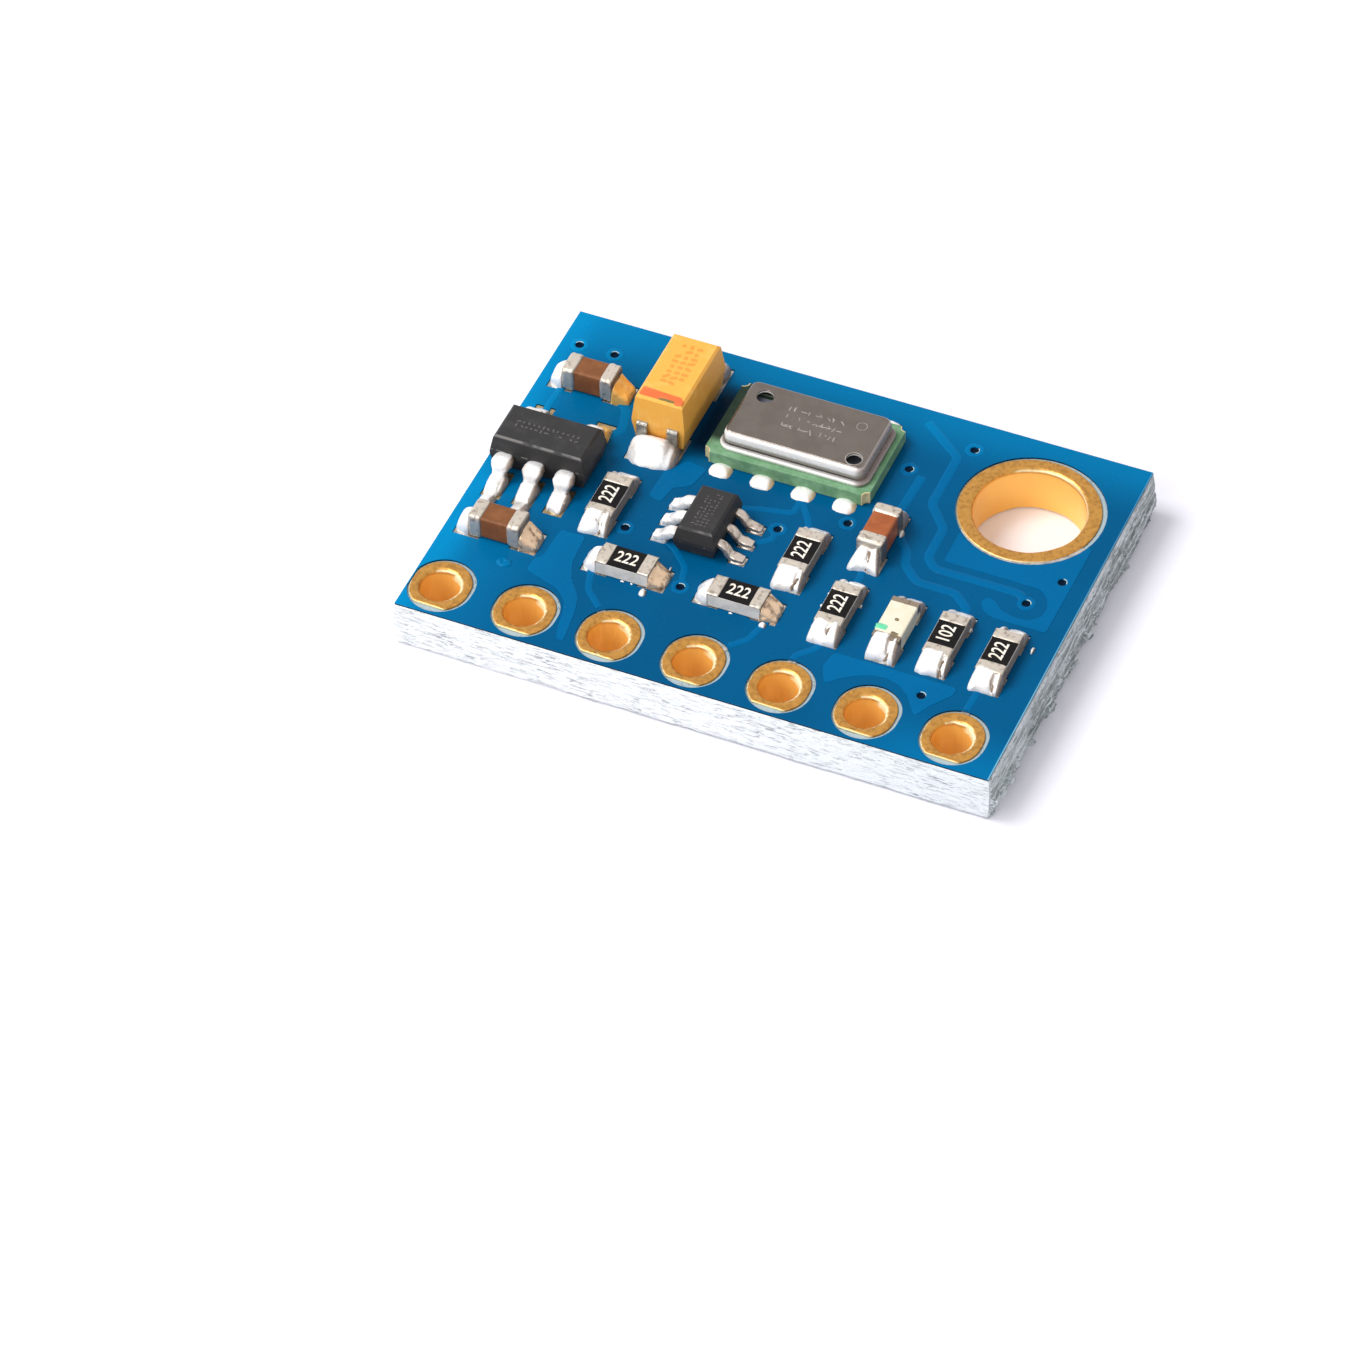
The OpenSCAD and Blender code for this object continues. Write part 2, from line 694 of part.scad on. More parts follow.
shifter_exit = 0.4;
shifter_toe = 0.24;
shifter_land_w = 0.36;
shifter_foot = 0.4 * shifter_reach;
shifter_solder_w = shifter_land_w - 0.02;
shifter_toe_w = shifter_land_w - 0.06;

module shifter_legs() {
    for (turn = [0, 180]) rotate(turn) for (i = [-1:1])
        translate([shifter_w / 2, i * shifter_pitch]) children();
}

module shifter_lands(grow) {
    start = leg_heel * shifter_reach;
    w = shifter_land_w + 2 * grow;
    l = shifter_reach + shifter_toe - start + 2 * grow;
    shifter_legs() translate([start - grow, -w / 2]) square([l, w]);
}

module level_shifter_body() {
    color("dimgray") at_place(shifter_place, seat_z + standoff)
        moulded(shifter_w, shifter_l, shifter_h, shifter_exit, lead_t);
}

module level_shifter_leads() {
    color("silver") at_place(shifter_place, seat_z) shifter_legs()
        leg(shifter_reach, standoff + shifter_exit, shifter_lead_w);
}

module level_shifter_solder() {
    rise = film_t + lead_t;
    color("gainsboro") at_place(shifter_place, land_z) shifter_legs() translate([shifter_reach, 0, 0])
        foot_solder(shifter_foot, shifter_toe, rise, shifter_solder_w, shifter_toe_w, foot_sag);
}

// Tantalum capacitor

tantalum_band = 0.72;
strip_out = 0.07;
strip_foot = 0.75;
strip_bend = 0.06;
window_low = 0.3;
tantalum_toe = 0.62;
tantalum_climb = 0.5;
tantalum_land_w = strip_w + 0.26;
tantalum_solder_w = tantalum_land_w - 0.02;
tantalum_toe_w = tantalum_land_w - 0.1;
strip_end = tantalum_l / 2 + strip_out + strip_t / 2;

module tantalum_lands(grow) {
    l = tantalum_toe + strip_foot + 2 * grow;
    w = tantalum_land_w + 2 * grow;
    both_ends() translate([strip_end - strip_foot - grow, -w / 2]) square([l, w]);
}

module tantalum_body() {
    color("sandybrown") at_place(tantalum_place, seat_z + strip_t)
        moulded(tantalum_l, tantalum_w, tantalum_h, tantalum_band, strip_t);
}

// Strip that leaves the end at the parting line and folds down the end and in under the body
module tantalum_terminals() {
    exit_z = strip_t + tantalum_band;
    out = tantalum_l / 2 + strip_out;
    line = rounded_line([[tantalum_l / 2, exit_z], [out, exit_z], [out, strip_t / 2],
        [strip_end - strip_foot, strip_t / 2]], strip_bend, 4);
    color("silver") at_place(tantalum_place, seat_z) both_ends() difference() {
        across(strip_w) polygon(ribbon(line, strip_t));
        translate([0, -strip_window / 2, window_low]) cube([tantalum_l, strip_window, exit_z]);
    }
}

module tantalum_solder() {
    color("gainsboro") at_place(tantalum_place, land_z) both_ends() translate([strip_end, 0, 0])
        foot_solder(strip_foot, tantalum_toe, film_t + tantalum_climb, tantalum_solder_w, tantalum_toe_w);
}

// Pressure sensor

corner_notch = 0.2;
terminal_w = 0.5;
terminal_l = 0.55;
terminal_t = 0.03;
sensor_seat = seat_z + terminal_t;
lid_z = sensor_seat + sensor_base_t;
lid_h = sensor_h - sensor_base_t;
sensor_toe = 0.42;
vent_at = [-1.55, 0.6];
port_at = [1.72, -0.8];
lid_shift = 0.08;
rim_edge = 0.08;
lid_open_h = 0.1;
bead_r = 0.26;
bead_out = 0.16;
pressure_die_at = [-1.15, 0.1];
pressure_die_w = 1.3;
pressure_die_h = 0.35;
membrane_w = 0.8;
membrane_depth = 0.03;
converter_die_at = [1, 0];
converter_die_l = 1.7;
converter_die_w = 1.4;
converter_die_h = 0.22;

// Middle of each terminal's outer edge, with +x pointing out from the sensor
module sensor_edges() {
    for (turn = [0, 180]) rotate(turn) for (i = [-1.5:1.5])
        translate([i * sensor_pitch, sensor_w / 2]) rotate(90) children();
}

module sensor_lands(grow) {
    l = terminal_l + sensor_toe + 2 * grow;
    w = terminal_w + 2 * grow;
    sensor_edges() translate([-terminal_l - grow, -w / 2]) square([l, w]);
}

module sensor_corners() {
    for (x = [-1, 1], y = [-1, 1]) translate([x * sensor_l / 2, y * sensor_w / 2]) children();
}

module sensor_base() {
    color("seagreen") at_place(sensor_place, sensor_seat) linear_extrude(sensor_base_t) difference() {
        square([sensor_l, sensor_w], center = true);
        sensor_corners() circle(corner_notch);
    }
}

// Pads under the base, and the gold lining of the quarter-round notches at its corners
module sensor_terminals() {
    color("goldenrod") at_place(sensor_place) {
        translate([0, 0, seat_z]) linear_extrude(terminal_t) sensor_edges()
            translate([-terminal_l, -terminal_w / 2]) square([terminal_l, terminal_w]);
        translate([0, 0, sensor_seat]) linear_extrude(sensor_base_t) intersection() {
            square([sensor_l, sensor_w], center = true);
            sensor_corners() difference() {
                circle(corner_notch);
                circle(corner_notch - terminal_t);
            }
        }
    }
}

// Solid outside of the drawn lid's upper part, shrunk by the metal's thickness for its inside
module lid_form(inset) {
    l = lid_rim_l - 2 * lid_step - 2 * inset;
    w = lid_rim_w - 2 * lid_step - 2 * inset;
    h = lid_h - inset;
    r = lid_edge;
    lift = r + eps;
    z = (h - lift) / 2;
    intersection() {
        linear_extrude(h) polygon(rounded_outline(box_outline(l, w), lid_corner - inset, 8));
        across(w + eps) translate([0, z]) polygon(rounded_outline(box_outline(l, h + lift), r, 5));
        along(l + eps) translate([0, z]) polygon(rounded_outline(box_outline(w, h + lift), r, 5));
    }
}

module sensor_lid() {
    color("gray") at_place(sensor_place, lid_z) translate([lid_shift, 0, 0]) difference() {
        union() {
            rounded_rim();
            lid_form(0);
        }
        translate([0, 0, -eps]) linear_extrude(eps + lid_open_h)
            polygon(rounded_outline(box_outline(lid_rim_l - 2 * lid_step - 2 * lid_t,
                lid_rim_w - 2 * lid_step - 2 * lid_t), lid_corner - lid_t, 8));
        lid_form(lid_t);
        translate(vent_at) cylinder(d = vent_d, h = sensor_h);
        translate(port_at) cylinder(d = port_d, h = sensor_h);
    }
}

// Rim that stands on the base, with its top edge rounded
module rounded_rim() {
    lift = rim_edge + eps;
    h = lid_rim_h;
    corner = lid_corner + rim_edge / 2;
    intersection() {
        linear_extrude(h) polygon(rounded_outline(box_outline(lid_rim_l, lid_rim_w), corner, 8));
        across(lid_rim_w + eps) translate([0, (h - lift) / 2])
            polygon(rounded_outline(box_outline(lid_rim_l, h + lift), rim_edge, 4));
        along(lid_rim_l + eps) translate([0, (h - lift) / 2])
            polygon(rounded_outline(box_outline(lid_rim_w, h + lift), rim_edge, 4));
    }
}

// Die with the hollow of its membrane in its top
module sensor_pressure_die() {
    color("slategray") at_place(sensor_place, lid_z) translate(pressure_die_at) difference() {
        slab(pressure_die_w, pressure_die_w, pressure_die_h);
        translate([0, 0, pressure_die_h - membrane_depth]) slab(membrane_w, membrane_w, pressure_die_h);
    }
}

module sensor_converter_die() {
    color("darkslategray") at_place(sensor_place, lid_z) translate(converter_die_at)
        slab(converter_die_l, converter_die_w, converter_die_h);
}

// Rounded beads that stand out from under the base
module sensor_solder() {
    color("gainsboro") at_place(sensor_place, land_z) difference() {
        union() {
            sensor_edges() translate([-terminal_l, -terminal_w / 2, 0])
                cube([terminal_l, terminal_w, film_t]);
            sensor_edges() intersection() {
                translate([bead_out, 0, 0]) sphere(bead_r);
                translate([0, -bead_r, 0]) cube(2 * bead_r);
            }
        }
        translate([0, 0, film_t]) slab(sensor_l, sensor_w, sensor_h);
    }
}

substrate();
top_copper();
bottom_copper();
top_mask();
bottom_mask();
mount_hole_plating();
for (i = [1:pin_count]) pin_hole_plating(i);
sensor_base();
sensor_terminals();
sensor_lid();
sensor_pressure_die();
sensor_converter_die();
sensor_solder();
regulator_body();
regulator_leads();
regulator_solder();
level_shifter_body();
level_shifter_leads();
level_shifter_solder();
tantalum_body();
tantalum_terminals();
tantalum_solder();
for (i = [1:3]) capacitor_body(i);
for (i = [1:3]) capacitor_caps(i);
for (i = [1:7]) resistor_ceramic(i);
for (i = [1:7]) resistor_overcoat(i);
for (i = [1:7]) resistor_ends(i);
lamp_base();
lamp_ends();
lamp_die();
lamp_lens();
chip_solder();
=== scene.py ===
import math

import bmesh
import bpy
import numpy as np
from mathutils import Matrix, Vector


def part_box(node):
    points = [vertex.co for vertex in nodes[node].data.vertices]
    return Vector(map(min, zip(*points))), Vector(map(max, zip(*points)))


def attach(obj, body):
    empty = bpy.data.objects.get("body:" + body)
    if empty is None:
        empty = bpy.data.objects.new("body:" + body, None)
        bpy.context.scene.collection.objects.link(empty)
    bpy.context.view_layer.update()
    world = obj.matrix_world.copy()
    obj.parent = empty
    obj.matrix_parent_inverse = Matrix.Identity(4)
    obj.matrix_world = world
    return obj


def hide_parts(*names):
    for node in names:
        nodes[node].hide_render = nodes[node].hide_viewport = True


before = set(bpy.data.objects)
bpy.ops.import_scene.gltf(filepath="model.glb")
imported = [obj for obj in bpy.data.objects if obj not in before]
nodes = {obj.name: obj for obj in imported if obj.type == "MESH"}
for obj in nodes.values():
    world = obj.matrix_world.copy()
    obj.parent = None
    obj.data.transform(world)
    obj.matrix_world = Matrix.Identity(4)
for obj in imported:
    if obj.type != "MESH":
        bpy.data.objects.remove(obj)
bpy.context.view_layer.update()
scene = bpy.context.scene
mm = 0.001
east, north, up = np.eye(3)

# Arrays and meshes. Shapes are worked out in millimetres.


def nodeBox(name):
    # The lowest and the highest corner of a CAD node
    low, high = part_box(name)
    return np.array(low) / mm, np.array(high) / mm


def unit(vector):
    # A direction of length 1
    return np.asarray(vector, float) / np.linalg.norm(vector)


def smoothNoise(x, y, seed):
    # Random heights from -1 to 1 at whole numbers, blended between them by 3t^2 - 2t^3
    table = np.random.default_rng(seed).uniform(-1, 1, (97, 89))
    i, j = np.floor(x).astype(int), np.floor(y).astype(int)
    u, v = x - i, y - j
    u, v = u * u * (3 - 2 * u), v * v * (3 - 2 * v)
    low = table[i % 97, j % 89] * (1 - u) + table[(i + 1) % 97, j % 89] * u
    high = table[i % 97, (j + 1) % 89] * (1 - u) + table[(i + 1) % 97, (j + 1) % 89] * u
    return low * (1 - v) + high * v


def layeredNoise(x, y, seed, layers=3):
    # Smooth noise, and finer noise at twice the frequency and half the height, added up
    return sum(smoothNoise(x * 2**k, y * 2**k, seed + k) / 2**k for k in range(layers))


def gridFaces(rows, columns, closeRows=False, closeColumns=False):
    # Quads between neighbours in a grid of points that is counted row by row
    r, c = np.meshgrid(np.arange(rows - (not closeRows)), np.arange(columns - (not closeColumns)), indexing="ij")
    nextRow, nextColumn = (r + 1) % rows, (c + 1) % columns
    corners = [r * columns + c, r * columns + nextColumn, nextRow * columns + nextColumn, nextRow * columns + c]
    return np.stack(corners, -1).reshape(-1, 4)


def addPiece(name, shapes, material, replaced=()):
    # One mesh of closed shapes, each of points, smooth faces and flat faces, scaled from millimetres to metres.
    # Its doubles are merged, its faces turned outwards, and it is handed to the frame.
    points, smoothFaces, flatFaces, start = [], [], [], 0
    for shapePoints, rounded, caps in shapes:
        shapePoints = shapePoints.reshape(-1, 3)
        points.append(shapePoints)
        smoothFaces += [face for faces in rounded for face in (np.asarray(faces) + start).tolist()]
        flatFaces += [(np.asarray(cap) + start).tolist() for cap in caps]
        start += len(shapePoints)
    mesh = bpy.data.meshes.new(name)
    mesh.from_pydata((np.concatenate(points) * mm).tolist(), [], smoothFaces + flatFaces)
    mesh.polygons.foreach_set("use_smooth", np.arange(len(mesh.polygons)) < len(smoothFaces))
    mesh.validate()
    work = bmesh.new()
    work.from_mesh(mesh)
    bmesh.ops.remove_doubles(work, verts=work.verts, dist=1e-7)
    bmesh.ops.recalc_face_normals(work, faces=work.faces)
    work.to_mesh(mesh)
    work.free()
    mesh.materials.clear()
    mesh.materials.append(material)
    piece = bpy.data.objects.new(name, mesh)
    scene.collection.objects.link(piece)
    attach(piece, "root")
    if replaced:
        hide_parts(*replaced)


def roundOutline(length, width, power=4.0, count=48, shift=0.0, rough=0.0, seed=1):
    # |x / a|^power + |y / b|^power = 1, its radius varied by noise round the circle
    angle = np.linspace(0, 2 * math.pi, count, endpoint=False)
    c, s = np.cos(angle), np.sin(angle)
    ragged = 1 + rough * layeredNoise(3.5 + 2.4 * c, 8.5 + 2.4 * s, seed, 2)
    x = np.sign(c) * np.abs(c) ** (2 / power) * length / 2 * ragged
    y = np.sign(s) * np.abs(s) ** (2 / power) * width / 2 * ragged
    return np.stack([x + shift, y], -1)


def blob(origin, out, outline, height, crown=(2.5, 0.5), rings=12, sink=0.012):
    # Rings shrink from the outline to its middle. A point stands at the height there times
    # (1 - share^a)^b, which is 1 in the middle and 0 at the outline. The last ring goes down into its seat.
    out = unit(out)
    side = np.cross(up, out)
    middle = outline.mean(0)
    share = np.sin(np.linspace(0, math.pi / 2, rings + 1)[1:])
    flat = middle + share[:, None, None] * (outline - middle)
    tall = height(flat[..., 0], flat[..., 1]) * ((1 - share ** crown[0]).clip(0) ** crown[1])[:, None]
    flat = np.concatenate([flat, flat[-1:]])
    tall = np.concatenate([tall, np.full((1, len(outline)), -sink)])
    grid = np.asarray(origin) + flat[..., :1] * out + flat[..., 1:] * side + tall[..., None] * up
    peak = height(middle[:1], middle[1:])[0]
    pole = np.asarray(origin) + middle[0] * out + middle[1] * side + peak * up
    grid = grid.reshape(-1, 3)
    count, turn = len(grid), np.arange(len(outline))
    fan = np.stack([np.full(len(turn), count), turn, (turn + 1) % len(turn)], -1)
    quads = gridFaces(rings + 1, len(outline), closeColumns=True)
    return np.vstack([grid, pole]), [quads, fan], [np.arange(count - len(turn), count)]


def level(height):
    # The same height all over a blob
    return lambda u, v: height + 0 * u


def uneven(height, more, closeness, offset, seed):
    # The height of a blob's points, varied by noise: height + more noise(closeness place + offset)
    return lambda u, v: height + more * layeredNoise(u * closeness + offset, v * closeness + offset, seed, 2)


def evenly(line, count):
    # The same line as evenly spaced points
    travelled = np.concatenate([[0], np.cumsum(np.linalg.norm(np.diff(line, axis=0), axis=1))])
    even = np.linspace(0, travelled[-1], count)
    return np.stack([np.interp(even, travelled, column) for column in line.T], -1)


def smoothPath(points, count=28, rounds=3):
    # Corners are cut at a quarter and three quarters of each side, over and over
    line = np.asarray(points, float)
    for _ in range(rounds):
        quarter, threeQuarters = line[:-1] * 0.75 + line[1:] * 0.25, line[:-1] * 0.25 + line[1:] * 0.75
        cut = np.stack([quarter, threeQuarters], 1).reshape(-1, line.shape[1])
        line = np.vstack([line[:1], cut, line[-1:]])
    return evenly(line, count)


def bends(corners, before, after, reach):
    # Each corner becomes the curve a(1 - t)^2 + 2ct(1 - t) + bt^2, from a little before it to a little after
    back, ahead = before - corners, after - corners
    backLength, aheadLength = (np.linalg.norm(way, axis=1)[:, None] for way in (back, ahead))
    start = corners + back / backLength * np.minimum(reach, 0.45 * backLength)
    end = corners + ahead / aheadLength * np.minimum(reach, 0.45 * aheadLength)
    t = np.linspace(0, 1, 6)[None, :, None]
    curve = start[:, None] * (1 - t) ** 2 + corners[:, None] * 2 * t * (1 - t) + end[:, None] * t**2
    return curve.reshape(-1, corners.shape[1])


def bentPath(points, reach=0.16, count=70):
    # A line with its inner corners bent, as evenly spaced points
    line = np.asarray(points, float)
    middle = bends(line[1:-1], line[:-2], line[2:], reach)
    return evenly(np.vstack([line[:1], middle, line[-1:]]), count)


def bentLoop(points, reach=0.12):
    # A closed outline with each corner bent
    loop = np.asarray(points, float)
    return bends(loop, np.roll(loop, 1, 0), np.roll(loop, -1, 0), reach)


def sweep(path, across, halfWidth, halfThick, power=4.0, count=24, tip=0.0, wobble=0.0, seed=1):
    # A section |u / width|^power + |v / thickness|^power = 1 carried along a path. Its ends close in along a
    # quarter circle of radius tip, and its radius is varied by noise.
    path = np.asarray(path, float)
    along = np.gradient(path, axis=0)
    along /= np.linalg.norm(along, axis=1)[:, None]
    across = np.broadcast_to(np.asarray(across, float), path.shape)
    halfWidth, halfThick = np.broadcast_to(halfWidth, len(path)), np.broadcast_to(halfThick, len(path))
    if tip:
        turn = np.linspace(0, math.pi / 2, 6)[1:]
        more = ((len(turn), len(turn)), (0, 0))
        ahead, less = tip * np.sin(turn), tip * (1 - np.cos(turn))
        front = path[0] - along[0] * ahead[::-1, None]
        back = path[-1] + along[-1] * ahead[:, None]
        path = np.vstack([front, path, back])
        along, across = np.pad(along, more, "edge"), np.pad(across, more, "edge")
        halfWidth = np.concatenate([halfWidth[0] - less[::-1], halfWidth, halfWidth[-1] - less])
        halfThick = np.concatenate([halfThick[0] - less[::-1], halfThick, halfThick[-1] - less])
    normal = np.cross(along, across)
    normal /= np.linalg.norm(normal, axis=1)[:, None]
    angle = np.linspace(0, 2 * math.pi, count, endpoint=False)
    c, s = np.cos(angle), np.sin(angle)
    u, v = np.sign(c) * np.abs(c) ** (2 / power), np.sign(s) * np.abs(s) ** (2 / power)
    step = np.arange(len(path))[:, None] * 0.35
    ragged = 1 + wobble * layeredNoise(step + 2.2 * c + 5, step * 0.3 + 2.2 * s + 9, seed, 2)
    ring = path[:, None] + across[:, None] * (halfWidth[:, None] * u * ragged)[..., None]
    ring = ring + normal[:, None] * (halfThick[:, None] * v * ragged)[..., None]
    quads = gridFaces(len(path), count, closeColumns=True)
    last = len(path) * count
    return ring, [quads], [np.arange(count)[::-1], np.arange(last - count, last)]


def flatMesh(curve, name):
    # The mesh of a text or flat curve as points and faces, and the curve is removed
    holder = bpy.data.objects.new(name, curve)
    scene.collection.objects.link(holder)
    graph = bpy.context.evaluated_depsgraph_get()
    mesh = bpy.data.meshes.new_from_object(holder.evaluated_get(graph))
    points = np.zeros(len(mesh.vertices) * 3)
    mesh.vertices.foreach_get("co", points)
    faces = [np.array(face.vertices) for face in mesh.polygons]
    bpy.data.objects.remove(holder)
    bpy.data.meshes.remove(mesh)
    bpy.data.curves.remove(curve)
    return points.reshape(-1, 3), faces


def plate(outlines, low, high, bevel):
    # A flat outline filled in, less any outlines of holes that follow it, from one height to another, its
    # edges rounded
    curve = bpy.data.curves.new("plate", "CURVE")
    curve.dimensions = "2D"
    curve.fill_mode = "BOTH"
    for outline in outlines:
        spline = curve.splines.new("POLY")
        spline.points.add(len(outline) - 1)
        flat = np.c_[outline, np.zeros(len(outline)), np.ones(len(outline))]
        spline.points.foreach_set("co", flat.ravel())
        spline.use_cyclic_u = True
    curve.extrude = (high - low) / 2 - bevel
    curve.bevel_depth = bevel
    curve.bevel_resolution = 2
    curve.offset = -bevel
    points, faces = flatMesh(curve, "plateCurve")
    return points + up * (low + high) / 2, [], faces


def lettering(text, size, depth, weight):
    # Figures as a flat mesh about the origin, thickened by an offset of their outline
    curve = bpy.data.curves.new("figures", "FONT")
    curve.body = text
    curve.size = size
    curve.align_x = "CENTER"
    curve.align_y = "CENTER"
    curve.extrude = depth
    curve.offset = weight
    return flatMesh(curve, "figuresCurve")


# Finishes


def rgb(red, green, blue):
    # A colour of 0 to 255 as a linear one
    value = np.array([red, green, blue]) / 255
    value = np.where(value <= 0.04045, value / 12.92, ((value + 0.055) / 1.055) ** 2.4)
    return (*value.tolist(), 1.0)


class Wire:
    # A node's output, on which arithmetic adds Math nodes
    def __init__(self, graph, socket):
        self.graph, self.socket = graph, socket

    def join(self, operation, first, second):
        # A Math node on two wires or values
        return self.graph.add("ShaderNodeMath", {"operation": operation}, {0: first, 1: second})

    def __add__(self, other):
        return self.join("ADD", self, other)

    def __radd__(self, other):
        return self.join("ADD", other, self)

    def __sub__(self, other):
        return self.join("SUBTRACT", self, other)

    def __rsub__(self, other):
        return self.join("SUBTRACT", other, self)

    def __mul__(self, other):
        return self.join("MULTIPLY", self, other)

    def __rmul__(self, other):
        return self.join("MULTIPLY", other, self)


class Graph:
    # The nodes of a material or of the world, with the colours that they use by name
    def __init__(self, owner, colours):
        owner.use_nodes = True
        self.tree = owner.node_tree
        self.tree.nodes.clear()
        self.colours = {key: rgb(*value) for key, value in colours.items()}

    def feed(self, target, value):
        # Puts a link, a colour's name or a plain value into a socket
        if isinstance(value, Wire):
            self.tree.links.new(target, value.socket)
        else:
            target.default_value = self.colours[value] if isinstance(value, str) else value

    def add(self, kind, settings=None, values=None, output=0):
        # A node of any type: its settings first, then what goes into its sockets
        node = self.tree.nodes.new(kind)
        for key, value in (settings or {}).items():
            setattr(node, key, value)
        for key, value in (values or {}).items():
            self.feed(node.inputs[key], value)
        return Wire(self, node.outputs[output]) if node.outputs else None

    def blend(self, first, second, share):
        # The first colour at a share of 0, the second at 1, and their mix between
        return self.add("ShaderNodeMix", {"data_type": "RGBA"}, {0: share, 6: first, 7: second}, 2)

    def larger(self, first, second):
        # The larger of two values
        return self.add("ShaderNodeMath", {"operation": "MAXIMUM"}, {0: first, 1: second})

    def seenBy(self, *rays):
        # 1 for a ray of one of the named kinds and 0 for any other: the largest of Light Path's outputs
        seen, *others = (self.add("ShaderNodeLightPath", output=ray) for ray in rays)
        for other in others:
            seen = self.larger(seen, other)
        return seen


class Finish(Graph):
    # A material: one Principled shader, with Object coordinates in millimetres to draw patterns on
    def __init__(self, name, colours):
        self.material = bpy.data.materials.new(name)
        super().__init__(self.material, colours)
        self.shader = self.tree.nodes.new("ShaderNodeBsdfPrincipled")
        self.add("ShaderNodeOutputMaterial", {}, {0: Wire(self, self.shader.outputs[0])})
        self.place = self.add("ShaderNodeTexCoord", output="Object")
        self.place = self.add("ShaderNodeVectorMath", {"operation": "SCALE"}, {0: self.place, "Scale": 1 / mm})
        self.x, self.y, self.z = (self.add("ShaderNodeSeparateXYZ", {}, {0: self.place}, axis) for axis in "XYZ")

    def noise(self, scale, detail=3.0, rough=0.55, stretch=None):
        # Noise from 0 to 1 whose features are 1 / scale millimetres across, made closer along an axis by stretch
        place = self.place
        if stretch:
            place = self.add("ShaderNodeVectorMath", {"operation": "MULTIPLY"}, {0: place, 1: stretch})
        values = {"Vector": place, "Scale": scale, "Detail": detail, "Roughness": rough}
        return self.add("ShaderNodeTexNoise", {}, values)

    def span(self, value, low, high, start=0.0, end=1.0):
        # start below low, end above high, and a smooth step between
        settings = {"interpolation_type": "SMOOTHSTEP"}
        return self.add("ShaderNodeMapRange", settings, {0: value, 1: low, 2: high, 3: start, 4: end})

    def band(self, value, low, high, soft=0.02):
        # 1 between low and high, 0 outside, with soft ends
        return self.span(value, low - soft, low + soft) * self.span(value, high - soft, high + soft, 1, 0)

    def facing(self, axis):
        # How far the surface faces along an axis, from -1 to 1
        normal = self.add("ShaderNodeNewGeometry", output="Normal")
        return self.add("ShaderNodeSeparateXYZ", {}, {0: normal}, axis)

    def relief(self, height, depth, strength=1.0):
        # A bump whose depth is in millimetres
        values = {"Height": height, "Distance": depth * mm, "Strength": strength}
        self.feed(self.shader.inputs["Normal"], self.add("ShaderNodeBump", {}, values))

    def done(self, **values):
        # Puts what the finish worked out into the shader's own sockets
        names = {"colour": "Base Color", "rough": "Roughness", "metal": "Metallic", "coat": "Coat Weight",
                 "coatRough": "Coat Roughness", "specular": "Specular IOR Level"}
        for key, value in values.items():
            self.feed(self.shader.inputs[names[key]], value)
        return self.material


def fibreglassFinish():
    # Pale resin with layers of glass cloth that show as fine dashes along a cut edge, a little greyer to the right,
    # streaked and greyer on the torn right edge and darker towards its back as painted shade, blue grey where the
    # mask leaves it bare, and a painted contact shadow along the foot of the front edge
    colours = {"resin": (242, 246, 245), "glass": (224, 231, 233), "pit": (140, 151, 156), "torn": (184, 194, 192),
               "gap": (120, 130, 130), "bare": (172, 190, 194)}
    f = Finish("fibreglass", colours)
    layers = f.noise(1.0, 4, 0.6, (2.0, 2.0, 14))
    base = f.blend("resin", "glass", f.span(layers, 0.5, 0.68))
    base = f.blend(base, "glass", f.span(f.x, -2, 8.6, 0, 0.7))
    clusters = f.span(f.noise(0.8, 2), 0.45, 0.66, 0.05, 1)
    dashes = f.span(f.noise(1.0, 3, 0.6, (3.2, 3.2, 24)), 0.57, 0.63)
    base = f.blend(base, "pit", dashes * clusters * 0.75)
    streaks = f.noise(1.0, 4, 0.6, (15, 0.8, 15))
    torn = f.blend("torn", "gap", f.span(streaks, 0.54, 0.6))
    # Painted shade: the torn right edge grows darker towards the back
    torn = f.blend(torn, "gap", f.span(f.y, -5.6, -2, 0, 0.45))
    torn = f.blend(torn, "glass", f.span(streaks, 0.41, 0.48, 0.9, 0))
    base = f.blend(base, torn, f.span(f.x, 8.8, 8.86) * f.span(f.y, -6.42, -6.3))
    base = f.blend(base, "bare", f.span(f.facing("Z"), 0.9, 0.99) * f.span(f.z, 1.4, 1.45))
    # Painted contact shadow along the foot of the front edge
    foot = f.span(f.y, -6.34, -6.3, 1, 0) * f.span(f.z, 0.03, 0.1, 1, 0) * f.span(f.x, -6, 0)
    base = f.blend(base, "pit", foot * 0.6)
    f.relief(layers - dashes * 0.7 + streaks * 0.4, 0.05, 0.8)
    return f.done(colour=base, rough=0.7)


def copperFinish():
    # Plated lands where the mask leaves them bare: tinned, pale gold round the regulator's legs, and wet with
    # solder along the sensor
    colours = {"land": (176, 158, 122), "dull": (140, 120, 88), "tin": (196, 192, 186), "dullTin": (150, 145, 138),
               "wet": (236, 232, 222)}
    f = Finish("landGold", colours)
    patches = f.span(f.noise(4), 0.4, 0.7)
    base = f.blend("land", "dull", patches)
    tin = f.blend("tin", "dullTin", patches)
    base = f.blend(tin, base, f.span(f.x, -5.7, -5.5, 1, 0) * f.band(f.y, -1.8, 2.6))
    wet = f.band(f.x, -3.1, 1.9) * f.band(f.y, 1.3, 5.7)
    base = f.blend(base, "wet", wet)
    f.relief(f.noise(30), 0.008, 0.5)
    return f.done(colour=base, rough=0.36, metal=f.span(wet, 0, 1, 0.8, 0.1))


